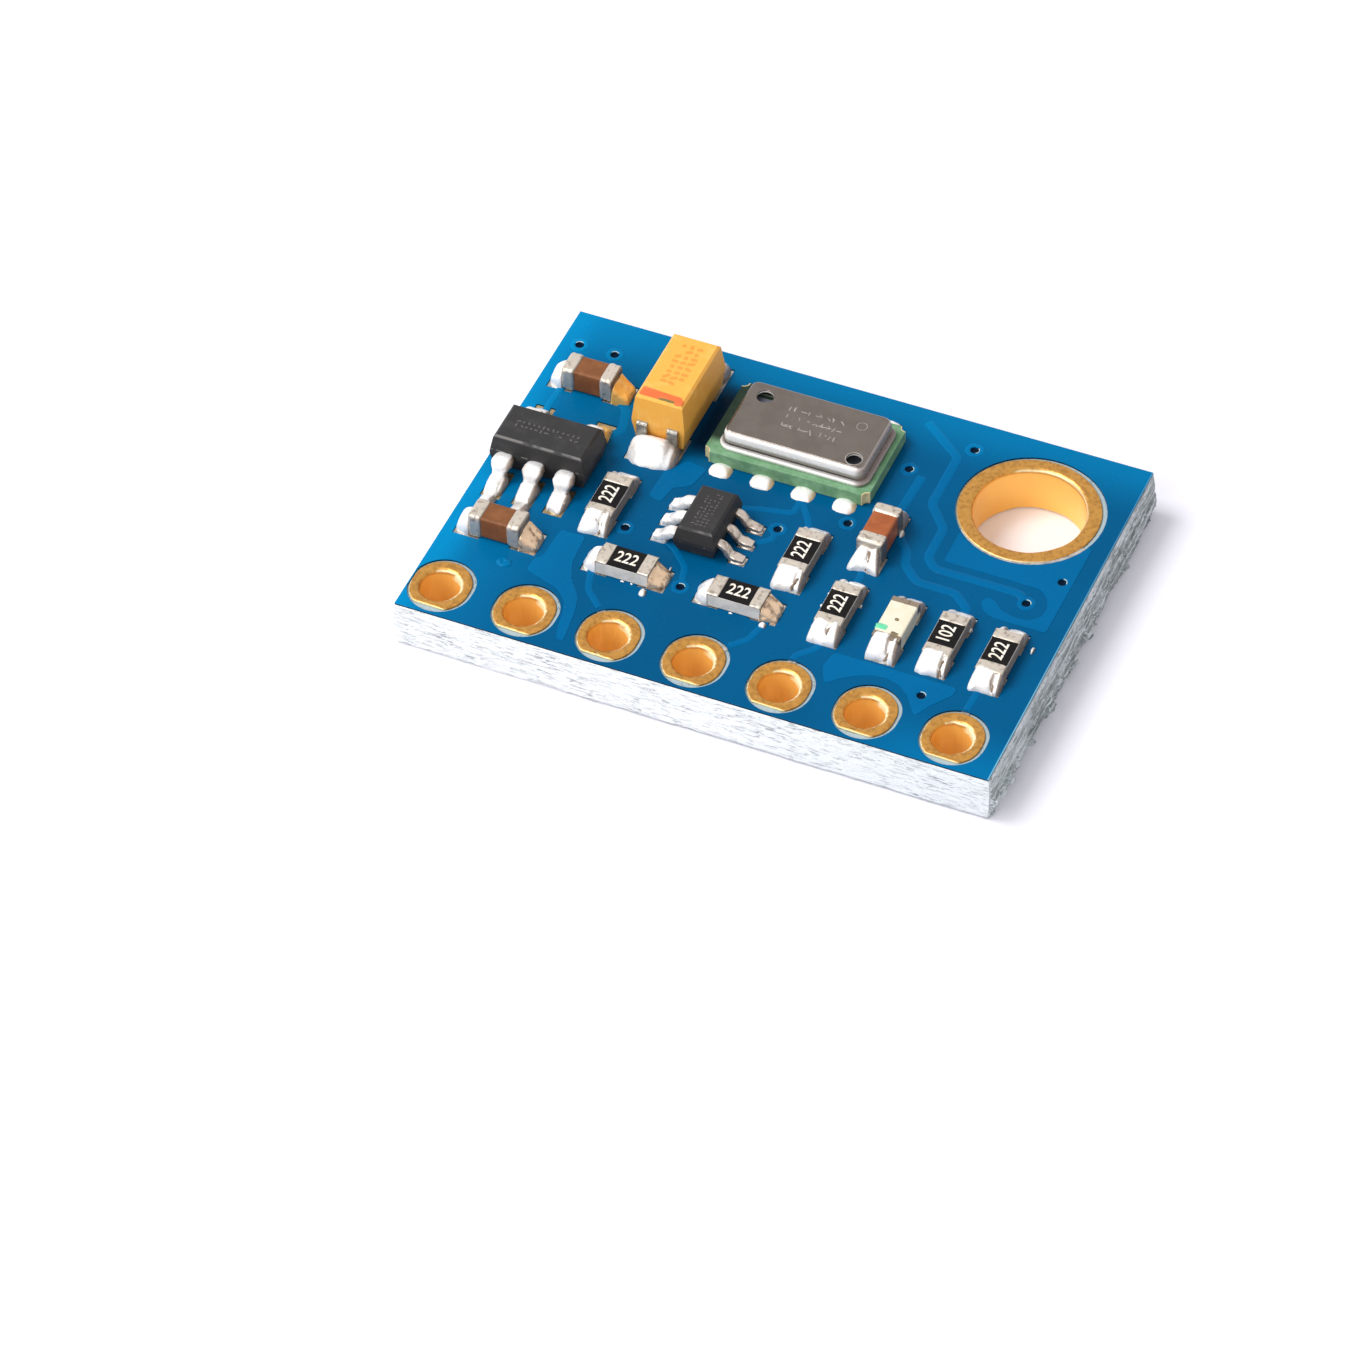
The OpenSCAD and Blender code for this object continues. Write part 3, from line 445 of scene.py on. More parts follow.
def maskFinish(name, colours):
    # Glossy ink over glass cloth: a slow drift of colour, a faint weave, a painted sheen towards the left and the
    # back, lighter at the front right corner, painted shadow in the gap left of the sensor, and painted shade,
    # nearly black, where it sinks into a hole
    f = Finish(name, colours)
    base = f.blend("deep", "light", f.span(f.noise(0.28, 2, 0.5), 0.35, 0.7))
    drift = f.noise(0.4, 2)
    # Painted sheen: lighter towards the left
    base = f.blend(base, "side", f.span(f.x + drift * 1.6, -8.4, -3.6, 1, 0) * 0.9)
    base = f.blend(base, "side", f.span(f.y, -6.3, -4.4, 1, 0) * f.span(f.x, 3, 7.4) * 0.8)
    # Painted sheen, palest along the left edge and along the back
    base = f.blend(base, "edge", f.span(f.x + drift * 0.9, -8.4, -7.2, 1, 0) * 0.8)
    base = f.blend(base, "edge", f.span(f.y, 4.2, 6.4) * 0.45)
    # Painted shadow in the gap between the tantalum capacitor and the sensor
    gap = f.span(f.x, -4.0, -3.5) * f.span(f.x, -2.9, -2.7, 1, 0)
    gap = gap * f.span(f.y, 1.9, 2.7) * f.span(f.y, 4.5, 5.4, 1, 0)
    base = f.blend(base, "hole", gap * 0.9)
    base = f.blend(base, "rim", f.span(f.x, 8.76, 8.78) * f.span(f.y, -6, 5, 0.85, 0.3))
    # Painted shade where the mask sinks into holes and down their walls
    base = f.blend(base, "hole", f.span(f.z, 1.512, 1.542, 1, 0) * f.span(f.z, 0.7, 0.8))
    weave = f.add("ShaderNodeTexWave", {}, {"Vector": f.place, "Scale": 1.1, "Distortion": 1.2, "Detail": 2})
    f.relief(f.noise(9, 4, 0.6) * 0.6 + weave * 0.2, 0.01, 0.5)
    return f.done(colour=base, rough=f.span(f.noise(5, 3), 0.3, 0.75, 0.16, 0.3), specular=0.04)


def goldFinish():
    # Thin satin gold on plated copper: browner in patches, yellower and brighter down in the holes as painted
    # reflection, and a painted highlight on edges and on the top of a pin hole's wall that face the light
    colours = {"satin": (204, 150, 76), "brown": (164, 114, 56), "wall": (255, 204, 106), "glow": (255, 244, 198)}
    f = Finish("gold", colours)
    patches = f.span(f.noise(8, 4, 0.65), 0.4, 0.66)
    base = f.blend("satin", "brown", patches * 0.75)
    # Painted reflection: the walls down in the holes are brighter and yellower
    wall = f.span(f.z, 1.38, 1.5, 1, 0)
    base = f.blend(base, "wall", wall)
    left, front = f.facing("X"), f.facing("Y")
    # Painted highlight: a crescent on the pin holes' walls that face the light, and pale edges facing front left
    crescent = f.span(left, -0.5, -0.1, 1, 0) * f.band(f.z + f.noise(9, 3) * 0.16, 1.36, 1.62, 0.03)
    crescent = crescent * f.span(f.y, -4.4, -4.2, 1, 0)
    edge = f.span(f.facing("Z"), 0.6, 0.92, 1, 0) * f.span(left + front, -0.3, -0.1, 1, 0) * f.span(f.z, 1.44, 1.5)
    glow = f.larger(crescent, edge * 0.7)
    base = f.blend(base, "glow", glow)
    f.relief(f.noise(16, 3, 0.5), 0.01, 0.4)
    rough = f.span(f.noise(9, 3), 0.3, 0.7, 0.28, 0.4)
    metal = f.span(wall, 0, 1, 0.92, 0.3) * f.span(glow, 0, 1, 1, 0.2)
    return f.done(colour=base, rough=rough, metal=metal)


def solderFinish(name, colours, rough=(0.2, 0.32), grain=3.0, metal=0.85, depth=0.03):
    # Bright tin alloy: smooth pools, a few dull patches, and painted shade on the +x side where it is given
    f = Finish(name, colours)
    dull = f.span(f.noise(grain, 3, 0.5), 0.5, 0.72)
    base = f.blend("bright", "dull", dull)
    if "side" in colours:
        # Painted shade on faces turned towards +x, away from the light
        base = f.blend(base, "side", f.span(f.facing("X"), 0.3, 0.7) * 0.85)
    f.relief(f.noise(grain * 1.6, 2, 0.5), depth, 0.4)
    return f.done(colour=base, rough=f.span(f.noise(grain * 1.3, 3), 0.35, 0.7, *rough), metal=metal)


def mouldedFinish(name, colours, pit=40, rough=0.55, top=None):
    # Moulded resin: fine pits, and faint lighter wear. A height given as top gets a painted highlight along its
    # front top edge, and a few lighter dashes on front faces along the parting line below it.
    f = Finish(name, colours)
    wear = f.span(f.noise(2.2, 4, 0.6), 0.5, 0.75)
    base = f.blend("main", "worn", wear)
    speck = f.span(f.noise(pit * 0.6, 2), 0.66, 0.76)
    base = f.blend(base, "worn", speck * 0.5)
    if top:
        # Painted highlight on front faces: a line under the top edge, and lighter dashes along the parting line
        front = f.span(f.facing("Y"), -0.6, -0.35, 1, 0)
        line = f.span(f.z, top - 0.06, top - 0.04) * f.span(f.noise(1.6, 2), 0.36, 0.5)
        dashes = f.band(f.z, top - 0.5, top - 0.46, 0.01) * f.span(f.noise(1.0, 2, 0.5, (7, 1, 1)), 0.5, 0.56)
        base = f.blend(base, "line", front * (line + dashes * 0.8))
    f.relief(f.noise(pit, 3, 0.6) + f.noise(3, 2) * 0.3, 0.012, 0.5)
    return f.done(colour=base, rough=f.span(wear, 0, 1, rough - 0.08, rough + 0.08), specular=0.25)


def lidFinish():
    # Drawn nickel: an even brown grey top with fine grain along it; painted reflection makes the bends and sides
    # white, and painted shade gives a grey band and a dark crease above the flange and darkens the bends at both ends
    colours = {"nickel": (124, 115, 109), "stain": (114, 105, 99), "bend": (250, 247, 242), "crease": (66, 60, 56),
               "wall": (158, 149, 141), "left": (60, 55, 52), "right": (122, 106, 98)}
    f = Finish("drawnLid", colours)
    low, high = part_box("sensor_lid")
    bottom, top, right = low[2] / mm, high[2] / mm, high[0] / mm
    grain = f.noise(1.0, 4, 0.6, (3, 40, 20))
    base = f.blend("nickel", "stain", f.span(f.noise(1.6, 4), 0.42, 0.66) * 0.6)
    # Painted reflection: white and less metallic below the top's edge
    bend = f.span(f.z, top - 0.05, top - 0.02, 1, 0)
    base = f.blend(base, "bend", bend)
    # Painted shade: a grey band and a dark crease above the flange
    base = f.blend(base, "wall", f.band(f.z, bottom + 0.16, bottom + 0.32, 0.06))
    base = f.blend(base, "crease", f.band(f.z, bottom + 0.15, bottom + 0.215, 0.014))
    # Painted shade on the bends of the right end
    end = f.span(f.x, right - 0.55, right - 0.2) * bend
    base = f.blend(base, "right", end * 0.85)
    # Painted shadow on the bends of the left end, behind its front corner
    base = f.blend(base, "left", f.span(f.x, -2.62, -2.5, 1, 0) * f.span(f.y, 2.45, 2.8) * bend)
    f.relief(grain * 0.5 + f.noise(22, 3) * 0.5, 0.005, 0.4)
    return f.done(colour=base, rough=f.span(f.noise(4, 3), 0.3, 0.7, 0.22, 0.3), metal=f.span(bend, 0, 1, 1, 0.12))


def ceramicFinish(name, colours, rough=0.4, grain=18, specular=0.5):
    # Fired ceramic: close grain, slow changes of tone, and painted shade browning the +x side where it is given
    f = Finish(name, colours)
    tone = f.span(f.noise(3, 4, 0.6), 0.38, 0.68)
    base = f.blend("main", "second", tone)
    if "side" in colours:
        # Painted shade that browns the side facing +x, away from the light
        stain = f.span(f.facing("X"), 0.4, 0.8) * f.span(f.noise(7, 3), 0.35, 0.6, 0.84, 0.96)
        base = f.blend(base, "side", stain)
    if "shade" in colours:
        # Painted shadow over the left strip of the sensor's base, behind its front
        left = f.span(f.x, -2.86, -2.7, 1, 0) * f.span(f.y, 2.35, 2.75)
        base = f.blend(base, "shade", left * 0.9)
    f.relief(f.noise(grain, 4, 0.6), 0.01, 0.6)
    return f.done(colour=base, rough=rough, specular=specular)


def lensFinish():
    # Cloudy resin, cream with browner clouds
    colours = {"cream": (240, 233, 208), "amber": (226, 210, 166)}
    f = Finish("creamLens", colours)
    cloud = f.span(f.noise(3.5, 4), 0.4, 0.75)
    base = f.blend("cream", "amber", cloud * 0.5)
    f.relief(f.noise(8, 3), 0.012, 0.4)
    return f.done(colour=base, rough=0.22, coat=0.4, coatRough=0.1)


fibreglass = fibreglassFinish()
landGold = copperFinish()
# In these colours hole is painted shade, and side and edge are lighter tones used as painted sheen
ends = {"hole": (2, 24, 46), "rim": (126, 196, 222)}
ground = {"deep": (0, 84, 128), "light": (0, 89, 135), "side": (0, 114, 167), "edge": (0, 140, 196), **ends}
raised = {"deep": (0, 98, 148), "light": (0, 102, 154), "side": (0, 124, 178), "edge": (0, 150, 206), **ends}
maskBlue = maskFinish("maskBlue", ground)
maskOverCopper = maskFinish("maskOverCopper", raised)
gold = goldFinish()
# The side colours of the solder, bead, cap and white ceramic finishes are painted shade on faces turned to +x
solder = solderFinish("solder", {"bright": (250, 249, 246), "dull": (226, 220, 212), "side": (150, 126, 102)},
                      (0.24, 0.36), 3.0, 0.25)
# Brown for a thin ribbon along a joint's crease
creaseBrown = solderFinish("creaseBrown", {"bright": (132, 110, 88), "dull": (84, 68, 54)}, (0.3, 0.5), 9.0, 0.1)
beadSolder = solderFinish("beadSolder", {"bright": (255, 253, 248), "dull": (246, 240, 228), "side": (222, 186, 138)},
                          (0.3, 0.4), 3.0, 0.1)
# Bright tin for the painted glints in the vias
glintTin = solderFinish("glintTin", {"bright": (170, 200, 206), "dull": (96, 140, 156)}, (0.3, 0.4), 6.0, 0.1)
warmSolder = solderFinish("warmSolder", {"bright": (232, 200, 166), "dull": (128, 104, 86)}, (0.24, 0.36), 5.0, 0.5)
# Amber solder is a painted reflection of the yellow tantalum capacitor beside these joints
amberReflectionSolder = solderFinish("amberReflectionSolder", {"bright": (255, 204, 112), "dull": (240, 166, 76)}, (0.3, 0.4), 4.0, 0.3)
paleGold = solderFinish("paleGold", {"bright": (226, 212, 160), "dull": (196, 180, 120)}, (0.4, 0.5), 6.0, 0.2)
tinned = solderFinish("tinned", {"bright": (206, 192, 180), "dull": (156, 138, 126)}, (0.2, 0.34), 5.0, 0.75)
darkTin = solderFinish("darkTin", {"bright": (156, 152, 144), "dull": (112, 108, 100)}, (0.26, 0.4), 6.0, 0.6)
capMetal = solderFinish("capMetal", {"bright": (206, 196, 182), "dull": (158, 145, 130), "side": (112, 100, 90)},
                        (0.3, 0.46), 7.0, 0.6, 0.02)
# line is a painted highlight colour for the front top edges of the black mouldings
moulded = {"main": (46, 45, 45), "worn": (62, 61, 60), "line": (116, 114, 111)}
regulatorMoulding = mouldedFinish("regulatorMoulding", moulded, top=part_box("regulator_body")[1][2] / mm)
shifterMoulding = mouldedFinish("shifterMoulding", moulded, top=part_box("level_shifter_body")[1][2] / mm)
greyMark = mouldedFinish("greyMark", {"main": (92, 88, 86), "worn": (110, 105, 102)}, 40, 0.7)
yellowMoulding = mouldedFinish("yellowMoulding", {"main": (250, 182, 78), "worn": (255, 196, 100)}, 30, 0.5)
orangeInk = mouldedFinish("orangeInk", {"main": (240, 116, 62), "worn": (246, 140, 84)}, 30, 0.5)
brownInk = mouldedFinish("brownInk", {"main": (238, 156, 66), "worn": (246, 174, 86)}, 30, 0.6)
stainInk = mouldedFinish("stainInk", {"main": (132, 116, 66), "worn": (150, 124, 66)}, 30, 0.6)
# shade is a painted shadow over the left strip of the sensor's base
greenBase = ceramicFinish("greenBase", {"main": (108, 152, 112), "second": (130, 172, 134), "shade": (14, 26, 24)},
                          0.42, 12, 0.12)
drawnLid = lidFinish()
lidMark = ceramicFinish("lidMark", {"main": (168, 160, 152), "second": (138, 130, 122)}, 0.45, 20)
silicon = ceramicFinish("silicon", {"main": (92, 94, 104), "second": (108, 110, 122)}, 0.12, 6)
brownCeramic = ceramicFinish("brownCeramic", {"main": (124, 76, 40), "second": (140, 88, 50)}, 0.32, specular=0.25)
redCeramic = ceramicFinish("redCeramic", {"main": (158, 84, 42), "second": (172, 96, 52)}, 0.32, specular=0.25)
whiteCeramic = ceramicFinish("whiteCeramic", {"main": (226, 223, 214), "second": (208, 206, 198),
                                             "side": (126, 112, 100)}, 0.5, specular=0.3)
blackGlass = ceramicFinish("blackGlass", {"main": (16, 14, 14), "second": (26, 23, 21)}, 0.2, 10, 0.12)
figureInk = ceramicFinish("figureInk", {"main": (255, 250, 236), "second": (244, 234, 212)}, 0.5)
lampBoard = ceramicFinish("lampBoard", {"main": (232, 226, 202), "second": (212, 204, 176)}, 0.45)
bronze = solderFinish("bronze", {"bright": (150, 134, 116), "dull": (110, 96, 80)}, (0.3, 0.45), 7.0, 0.7, 0.02)
creamLens = lensFinish()
greenMark = ceramicFinish("greenMark", {"main": (96, 214, 160), "second": (130, 226, 178)}, 0.4, 8)
oliveMark = ceramicFinish("oliveMark", {"main": (134, 118, 84), "second": (110, 94, 66)}, 0.4, 8)

nodeFinishes = {
    "substrate": fibreglass, "top_copper": landGold, "bottom_copper": landGold, "top_mask": maskBlue,
    "bottom_mask": maskBlue, "mount_hole_plating": gold, "pin_hole_plating": gold, "sensor_base": greenBase,
    "sensor_terminals": paleGold, "sensor_lid": drawnLid, "sensor_pressure_die": silicon,
    "sensor_converter_die": silicon, "sensor_solder": solder, "regulator_body": regulatorMoulding,
    "regulator_leads": tinned, "regulator_solder": solder, "level_shifter_body": shifterMoulding,
    "level_shifter_leads": tinned, "level_shifter_solder": solder, "tantalum_body": yellowMoulding,
    "tantalum_terminals": darkTin, "tantalum_solder": solder, "capacitor_body": brownCeramic,
    "capacitor_caps": capMetal, "resistor_ceramic": whiteCeramic, "resistor_overcoat": blackGlass,
    "resistor_ends": capMetal, "lamp_base": lampBoard, "lamp_ends": bronze, "lamp_die": silicon,
    "lamp_lens": creamLens, "chip_solder": solder, "capacitor_body_3": redCeramic,
}
for nodeName, node in nodes.items():
    family = nodeName if nodeName in nodeFinishes else nodeName.rsplit("_", 1)[0]
    node.data.materials.clear()
    node.data.materials.append(nodeFinishes[family])
print("finishes set on", len(nodes), "nodes")

# Measures taken from the frame, in millimetres

boardLow, boardHigh = nodeBox("top_mask")
boardTop = boardHigh[2]
laminateTop = nodeBox("substrate")[1][2]
landTop = nodeBox("top_copper")[1][2]
corner = np.array([boardLow[0], boardLow[1], 0.0])


def onBoard(x, y, z=0.0):
    # A place measured from the board's front left corner
    return corner + np.array([x, y, z])


class Seat:
    # Where a part stands: its middle, the direction of its length and of its width, and its size
    def __init__(self, name):
        low, high = nodeBox(name)
        self.low, self.high, size = low, high, high - low
        upright = size[1] > size[0]
        self.along = north if upright else east
        self.across = np.cross(up, self.along)
        self.length, self.width, self.height = max(size[:2]), min(size[:2]), size[2]
        self.middle = np.array([(low[0] + high[0]) / 2, (low[1] + high[1]) / 2, 0.0])

    def at(self, x, y, z):
        # A place x along the part and y across it from its middle, at the height z
        return self.middle + x * self.along + y * self.across + z * up


# Board


def holeRing(centre, holeRadius, reach, bottom, top, steps=120, seed=1):
    # A barrel with a land at each end, turned round the hole's axis. The profile goes up the wall, round the
    # lip, out along the land to the outline reach(angle), down its edge, back under it to the barrel, and the
    # same way mirrored below.
    values = {"lip": 0.13, "edge": 0.045, "land": 0.062, "barrel": 0.038}
    quarter = np.linspace(0, math.pi / 2, 7)
    lip, edge = values["lip"], values["edge"]
    inner = [(lip - lip * math.cos(a), lip - lip * math.sin(a)) for a in quarter]
    outer = [(-edge + edge * math.sin(a), edge - edge * math.cos(a)) for a in quarter]
    rows = [(0, r, d) for r, d in inner] + [(0, lip * 1.6, 0)] + [(1, r, d) for r, d in outer]
    rows += [(1, 0, values["land"]), (0, values["barrel"], values["land"])]
    side, offset, depth = np.array(rows).T
    side = np.concatenate([side, side[::-1]])[:, None]
    offset = np.concatenate([offset, offset[::-1]])[:, None]
    height = np.concatenate([top - depth, bottom + depth[::-1]])[:, None]
    angle = np.linspace(0, 2 * math.pi, steps, endpoint=False)[None]
    wave = layeredNoise(4 + 3 * np.cos(angle), 7 + 3 * np.sin(angle) + height * 1.5, seed)
    radius = offset + side * reach(angle) + (1 - side) * (holeRadius + 0.012 * wave)
    height = height + 0.004 * wave * (height > top - 0.05)
    points = np.stack([radius * np.cos(angle), radius * np.sin(angle), height + 0 * angle], -1)
    return points + centre, [gridFaces(len(side), steps, True, True)], []


def boardLands():
    # The pin holes, each with an oval land that is cut straight in front, and the mounting hole with a round one
    lands = {"pinRadius": 0.56, "landRadius": 0.85, "stretch": 0.1, "cut": 0.815, "shift": 0.02, "back": 0.94,
             "mountRadius": 1.6, "mountLand": 2.04}

    def oval(angle):
        # Distance to an oval of two half circles set apart, cut straight in front
        c, s = np.abs(np.cos(angle)), np.sin(angle)
        straight = lands["landRadius"] / c.clip(1e-6)
        root = np.sqrt((lands["landRadius"] ** 2 - (lands["stretch"] * c) ** 2).clip(0))
        curved = lands["stretch"] * np.abs(s) + root
        far = np.where(straight * np.abs(s) <= lands["stretch"], straight, curved)
        far = np.where(s < 0, np.minimum(far, lands["cut"] / (-s).clip(1e-6)), far)
        return far + lands["shift"] * np.cos(angle)

    for i in range(1, 8):
        low, high = nodeBox(f"pin_hole_plating_{i}")
        centre = np.array([(low[0] + high[0]) / 2, high[1] - lands["back"], 0])
        ring = holeRing(centre, lands["pinRadius"], oval, low[2], high[2], seed=20 + i)
        addPiece(f"pin_land_{i}", [ring], gold, [f"pin_hole_plating_{i}"])
    low, high = nodeBox("mount_hole_plating")
    centre = np.array([(low[0] + high[0]) / 2, (low[1] + high[1]) / 2, 0])
    ring = holeRing(centre, lands["mountRadius"], lambda a: lands["mountLand"] + 0 * a, low[2], high[2], 180, 5)
    addPiece("mount_land", [ring], gold, ["mount_hole_plating"])


viaPlaces = [[12.63, 11.65], [11.2, 10.25], [10.42, 7.6], [8.7, 6.65], [16.78, 7.7], [16.15, 6.57],
             [14.77, 2.22], [7.07, 3.55], [4.73, 5.1], [1.65, 11.4], [0.55, 11.4]]


def maskRelief():
    # Solder mask where it runs over copper: tracks are flat ribbons with rounded shoulders, areas are plates
    relief = {"rise": 0.014, "sink": 0.03, "fine": 0.23, "broad": 0.31, "clear": 0.2}
    fineTracks = [
        [[11.02, 2.2], [11.02, 2.34], [11.48, 2.8], [11.5, 3.3]],
        [[16.12, 2.2], [16.12, 2.5], [16.16, 3.2]],
        [[9.2, 2.0], [9.6, 2.4], [9.8, 3.3]],
        [[5.3, 1.99], [4.75, 2.5], [4.5, 3.3]],
        [[11.5, 4.9], [11.54, 5.5], [11.5, 6.2]],
        [[9.75, 6.5], [9.35, 7.3], [8.8, 8.1]],
        [[7.03, 3.76], [6.9, 4.3], [6.3, 4.9], [5.9, 5.1]],
        [[8.1, 5.75], [8.7, 6.2], [8.7, 6.44]],
        [[0.75, 8.1], [0.75, 9], [0.8, 9.8]],
        [[8.86, 7.9], [8.86, 7.4], [7.9, 7.2], [7.35, 7.0]],
    ]
    broadTracks = [
        [[11, 12.2], [12.3, 11.2], [12.3, 9.2], [12.98, 8.4], [12.98, 7.2], [13.32, 6.86], [15.8, 6.86],
         [15.98, 6.75]],
        [[11.65, 10.1], [11.6, 8.9], [11.53, 7.9]],
        [[11.7, 7.9], [12.35, 7.2], [12.5, 6.7], [13.05, 6.2], [14.2, 6.2], [14.72, 5.75], [14.72, 5.1]],
        [[2.65, 8.1], [3.1, 8.6], [2.9, 9.4], [2.4, 9.9]],
    ]
    frontArea = [
        [11.98, 2.84], [11.86, 2.25], [12.15, 1.64], [12.5, 1.98], [12.9, 2.25], [13.3, 2.42], [13.65, 2.46],
        [14.05, 2.37], [14.4, 2.1], [14.65, 1.74], [14.88, 1.42], [15.15, 1.95], [15.58, 2.55], [15.58, 2.84],
    ]
    leftArea = [
        [2.86, 3.05], [2.86, 2.55], [3.35, 2.38], [3.9, 2.22], [4.3, 1.85], [4.45, 1.45], [4.52, 1],
        [4.68, 0.42], [4.92, 0.42], [4.78, 1.5], [4.62, 2.1], [4.15, 2.72], [3.92, 3.3], [3.86, 4.35],
        [3.1, 4.35], [3.05, 3.2],
    ]
    shifterArea = [[4.82, 6.5], [5.25, 6.4], [5.35, 7.05], [5.8, 7.3], [5.95, 8.1], [5.3, 8.2], [4.85, 7.6]]
    mountArea = [
        [13.44, 7.24], [16.3, 7.22], [16.6, 6.98], [16.76, 6.6], [16.72, 6.22], [16.45, 5.98], [16.1, 5.93],
        [15.62, 6.05], [15.34, 6.32], [15.06, 6.4], [14.96, 6.12], [15.2, 5.82], [15.5, 5.7], [17.06, 5.7],
        [17.1, 9.2],
    ]
    arc = np.radians(np.linspace(-21, -135, 24))
    mount = np.array([14.95, 10.0])
    nearMount = mount + 2.15 * np.stack([np.cos(arc), np.sin(arc)], -1)
    areas = [np.array(frontArea), np.array(leftArea), np.array(shifterArea), np.vstack([mountArea, nearMount])]
    shapes = []
    low = boardTop - relief["sink"]
    for tracks, width in ((fineTracks, relief["fine"]), (broadTracks, relief["broad"])):
        for track in tracks:
            path = bentPath(track)
            line = np.c_[path, np.full(len(path), low)] + corner
            along = np.gradient(path, axis=0)
            across = np.c_[-along[:, 1], along[:, 0], np.zeros(len(path))]
            across /= np.linalg.norm(across, axis=1)[:, None]
            shapes.append(sweep(line, across, width / 2, relief["sink"] + relief["rise"], 3.2, 20, 0.02))
    turn = np.radians(np.arange(0, 360, 12))
    circle = relief["clear"] * np.stack([np.cos(turn), np.sin(turn)], -1)
    frontVia, mountVia = viaPlaces[6], viaPlaces[4]
    openings = [[circle + frontVia], [], [], [circle + mountVia]]
    for area, vias in zip(areas, openings):
        outlines = [outline + corner[:2] for outline in [bentLoop(area)] + vias]
        shapes.append(plate(outlines, low, boardTop + relief["rise"] * 0.9, 0.012))
    addPiece("mask_over_copper", shapes, maskOverCopper)


def viaRings():
    # Each via's ring under the mask: a low collar round a dimple where the mask sinks into the hole, and a
    # painted glint, a bright arc of tin on the far side of the hole
    collar = {"hole": 0.13, "ring": 0.27, "rise": 0.012, "depth": 0.06, "steps": 40}
    steps = collar["steps"]
    angle = np.linspace(0, 2 * math.pi, steps, endpoint=False)
    share = np.linspace(0, 1, 9)
    radius = collar["hole"] + (collar["ring"] - collar["hole"]) * share
    height = boardTop + collar["rise"] * np.sin(share * math.pi) ** 0.6
    inner = collar["hole"] * np.array([0.35, 0.7, 0.92, 1.0])
    dimple = boardTop - collar["depth"] * np.array([1.0, 0.93, 0.7, 0.3])
    profileR = np.concatenate([inner, radius, [collar["ring"], 0.02]])
    profileZ = np.concatenate([dimple, height, [boardTop - 0.03, boardTop - 0.12]])
    arc = np.radians(np.linspace(-55, 45, 14))
    shapes, glints = [], []
    for k, place in enumerate(viaPlaces):
        ragged = 1 + 0.06 * smoothNoise(3 + 2 * np.cos(angle), 5 + 2 * np.sin(angle), 70 + k)
        ring = np.stack([profileR[:, None] * np.cos(angle) * ragged, profileR[:, None] * np.sin(angle) * ragged,
                         profileZ[:, None] + 0 * angle], -1)
        last = (len(profileR) - 1) * steps
        caps = [np.arange(steps)[::-1], last + np.arange(steps)]
        shapes.append((ring + onBoard(*place), [gridFaces(len(profileR), steps, closeColumns=True)], caps))
        # A painted glint on the far side of the hole
        rim = collar["hole"] * np.stack([np.cos(arc + 0.2 * k), np.sin(arc + 0.2 * k), 0 * arc], -1)
        glints.append(sweep(rim + onBoard(*place, boardTop + 0.002), up, 0.012, 0.016, 2, 10, 0.012))
    addPiece("via_rings", shapes, maskOverCopper)
    addPiece("via_glints", glints, glintTin)


def edgeSkin(name, start, end, outward, profile, rough, teeth, seed):
    # A broken edge: a strip along the board whose reach outwards is a profile of the height, layered noise
    # drawn out along the edge, and teeth of torn fibre where they are asked for
    skin = {"steps": 42, "levels": 26, "bottom": 0.03, "under": 0.004, "least": 0.006, "fade": 0.08, "inside": 0.12}
    length = np.linalg.norm(end - start)
    steps, levels = int(length * skin["steps"]), skin["levels"]
    s = np.linspace(0, 1, steps)[:, None]
    v = np.linspace(0, 1, levels)[None]
    low, high = skin["bottom"], laminateTop - skin["under"]
    run = s * length
    layers = layeredNoise(run * 1.6, v * 11 + 0.2 * layeredNoise(run * 3, v * 2, seed + 9), seed, 3)
    fine = layeredNoise(run * 9, v * 26, seed + 31, 2)
    out = profile(v) + rough * (0.7 * layers + 0.4 * fine)
    torn = layeredNoise(run * 1.5, v * 2.4, seed + 57, 3)
    spikes = (4 * (layeredNoise(run * 3.4, v * 3, seed + 81, 2) - 0.5)).clip(0, 1)
    zone = np.exp(-(((v - teeth["middle"]) / teeth["spread"]) ** 2))
    out = out + zone * (teeth["torn"] * torn.clip(-0.3, None) + teeth["spike"] * spikes)
    out = out.clip(skin["least"], teeth["limit"])
    fade = np.minimum(1, np.minimum(run, length - run) / skin["fade"])
    out = skin["least"] + (out - skin["least"]) * fade
    height = low + (high - low) * v + 0 * s
    line = start + (end - start) * s[..., None]
    face = line + outward * out[..., None] + up * height[..., None]
    inside = line + outward * -skin["inside"]
    points = np.concatenate([face, inside + up * high, inside + up * low], axis=1)
    quads = gridFaces(steps, levels + 2, closeColumns=True)
    ring = np.arange(levels + 2)
    caps = [ring[::-1], ring + (steps - 1) * (levels + 2)]
    addPiece(name, [(points, [quads], caps)], fibreglass)


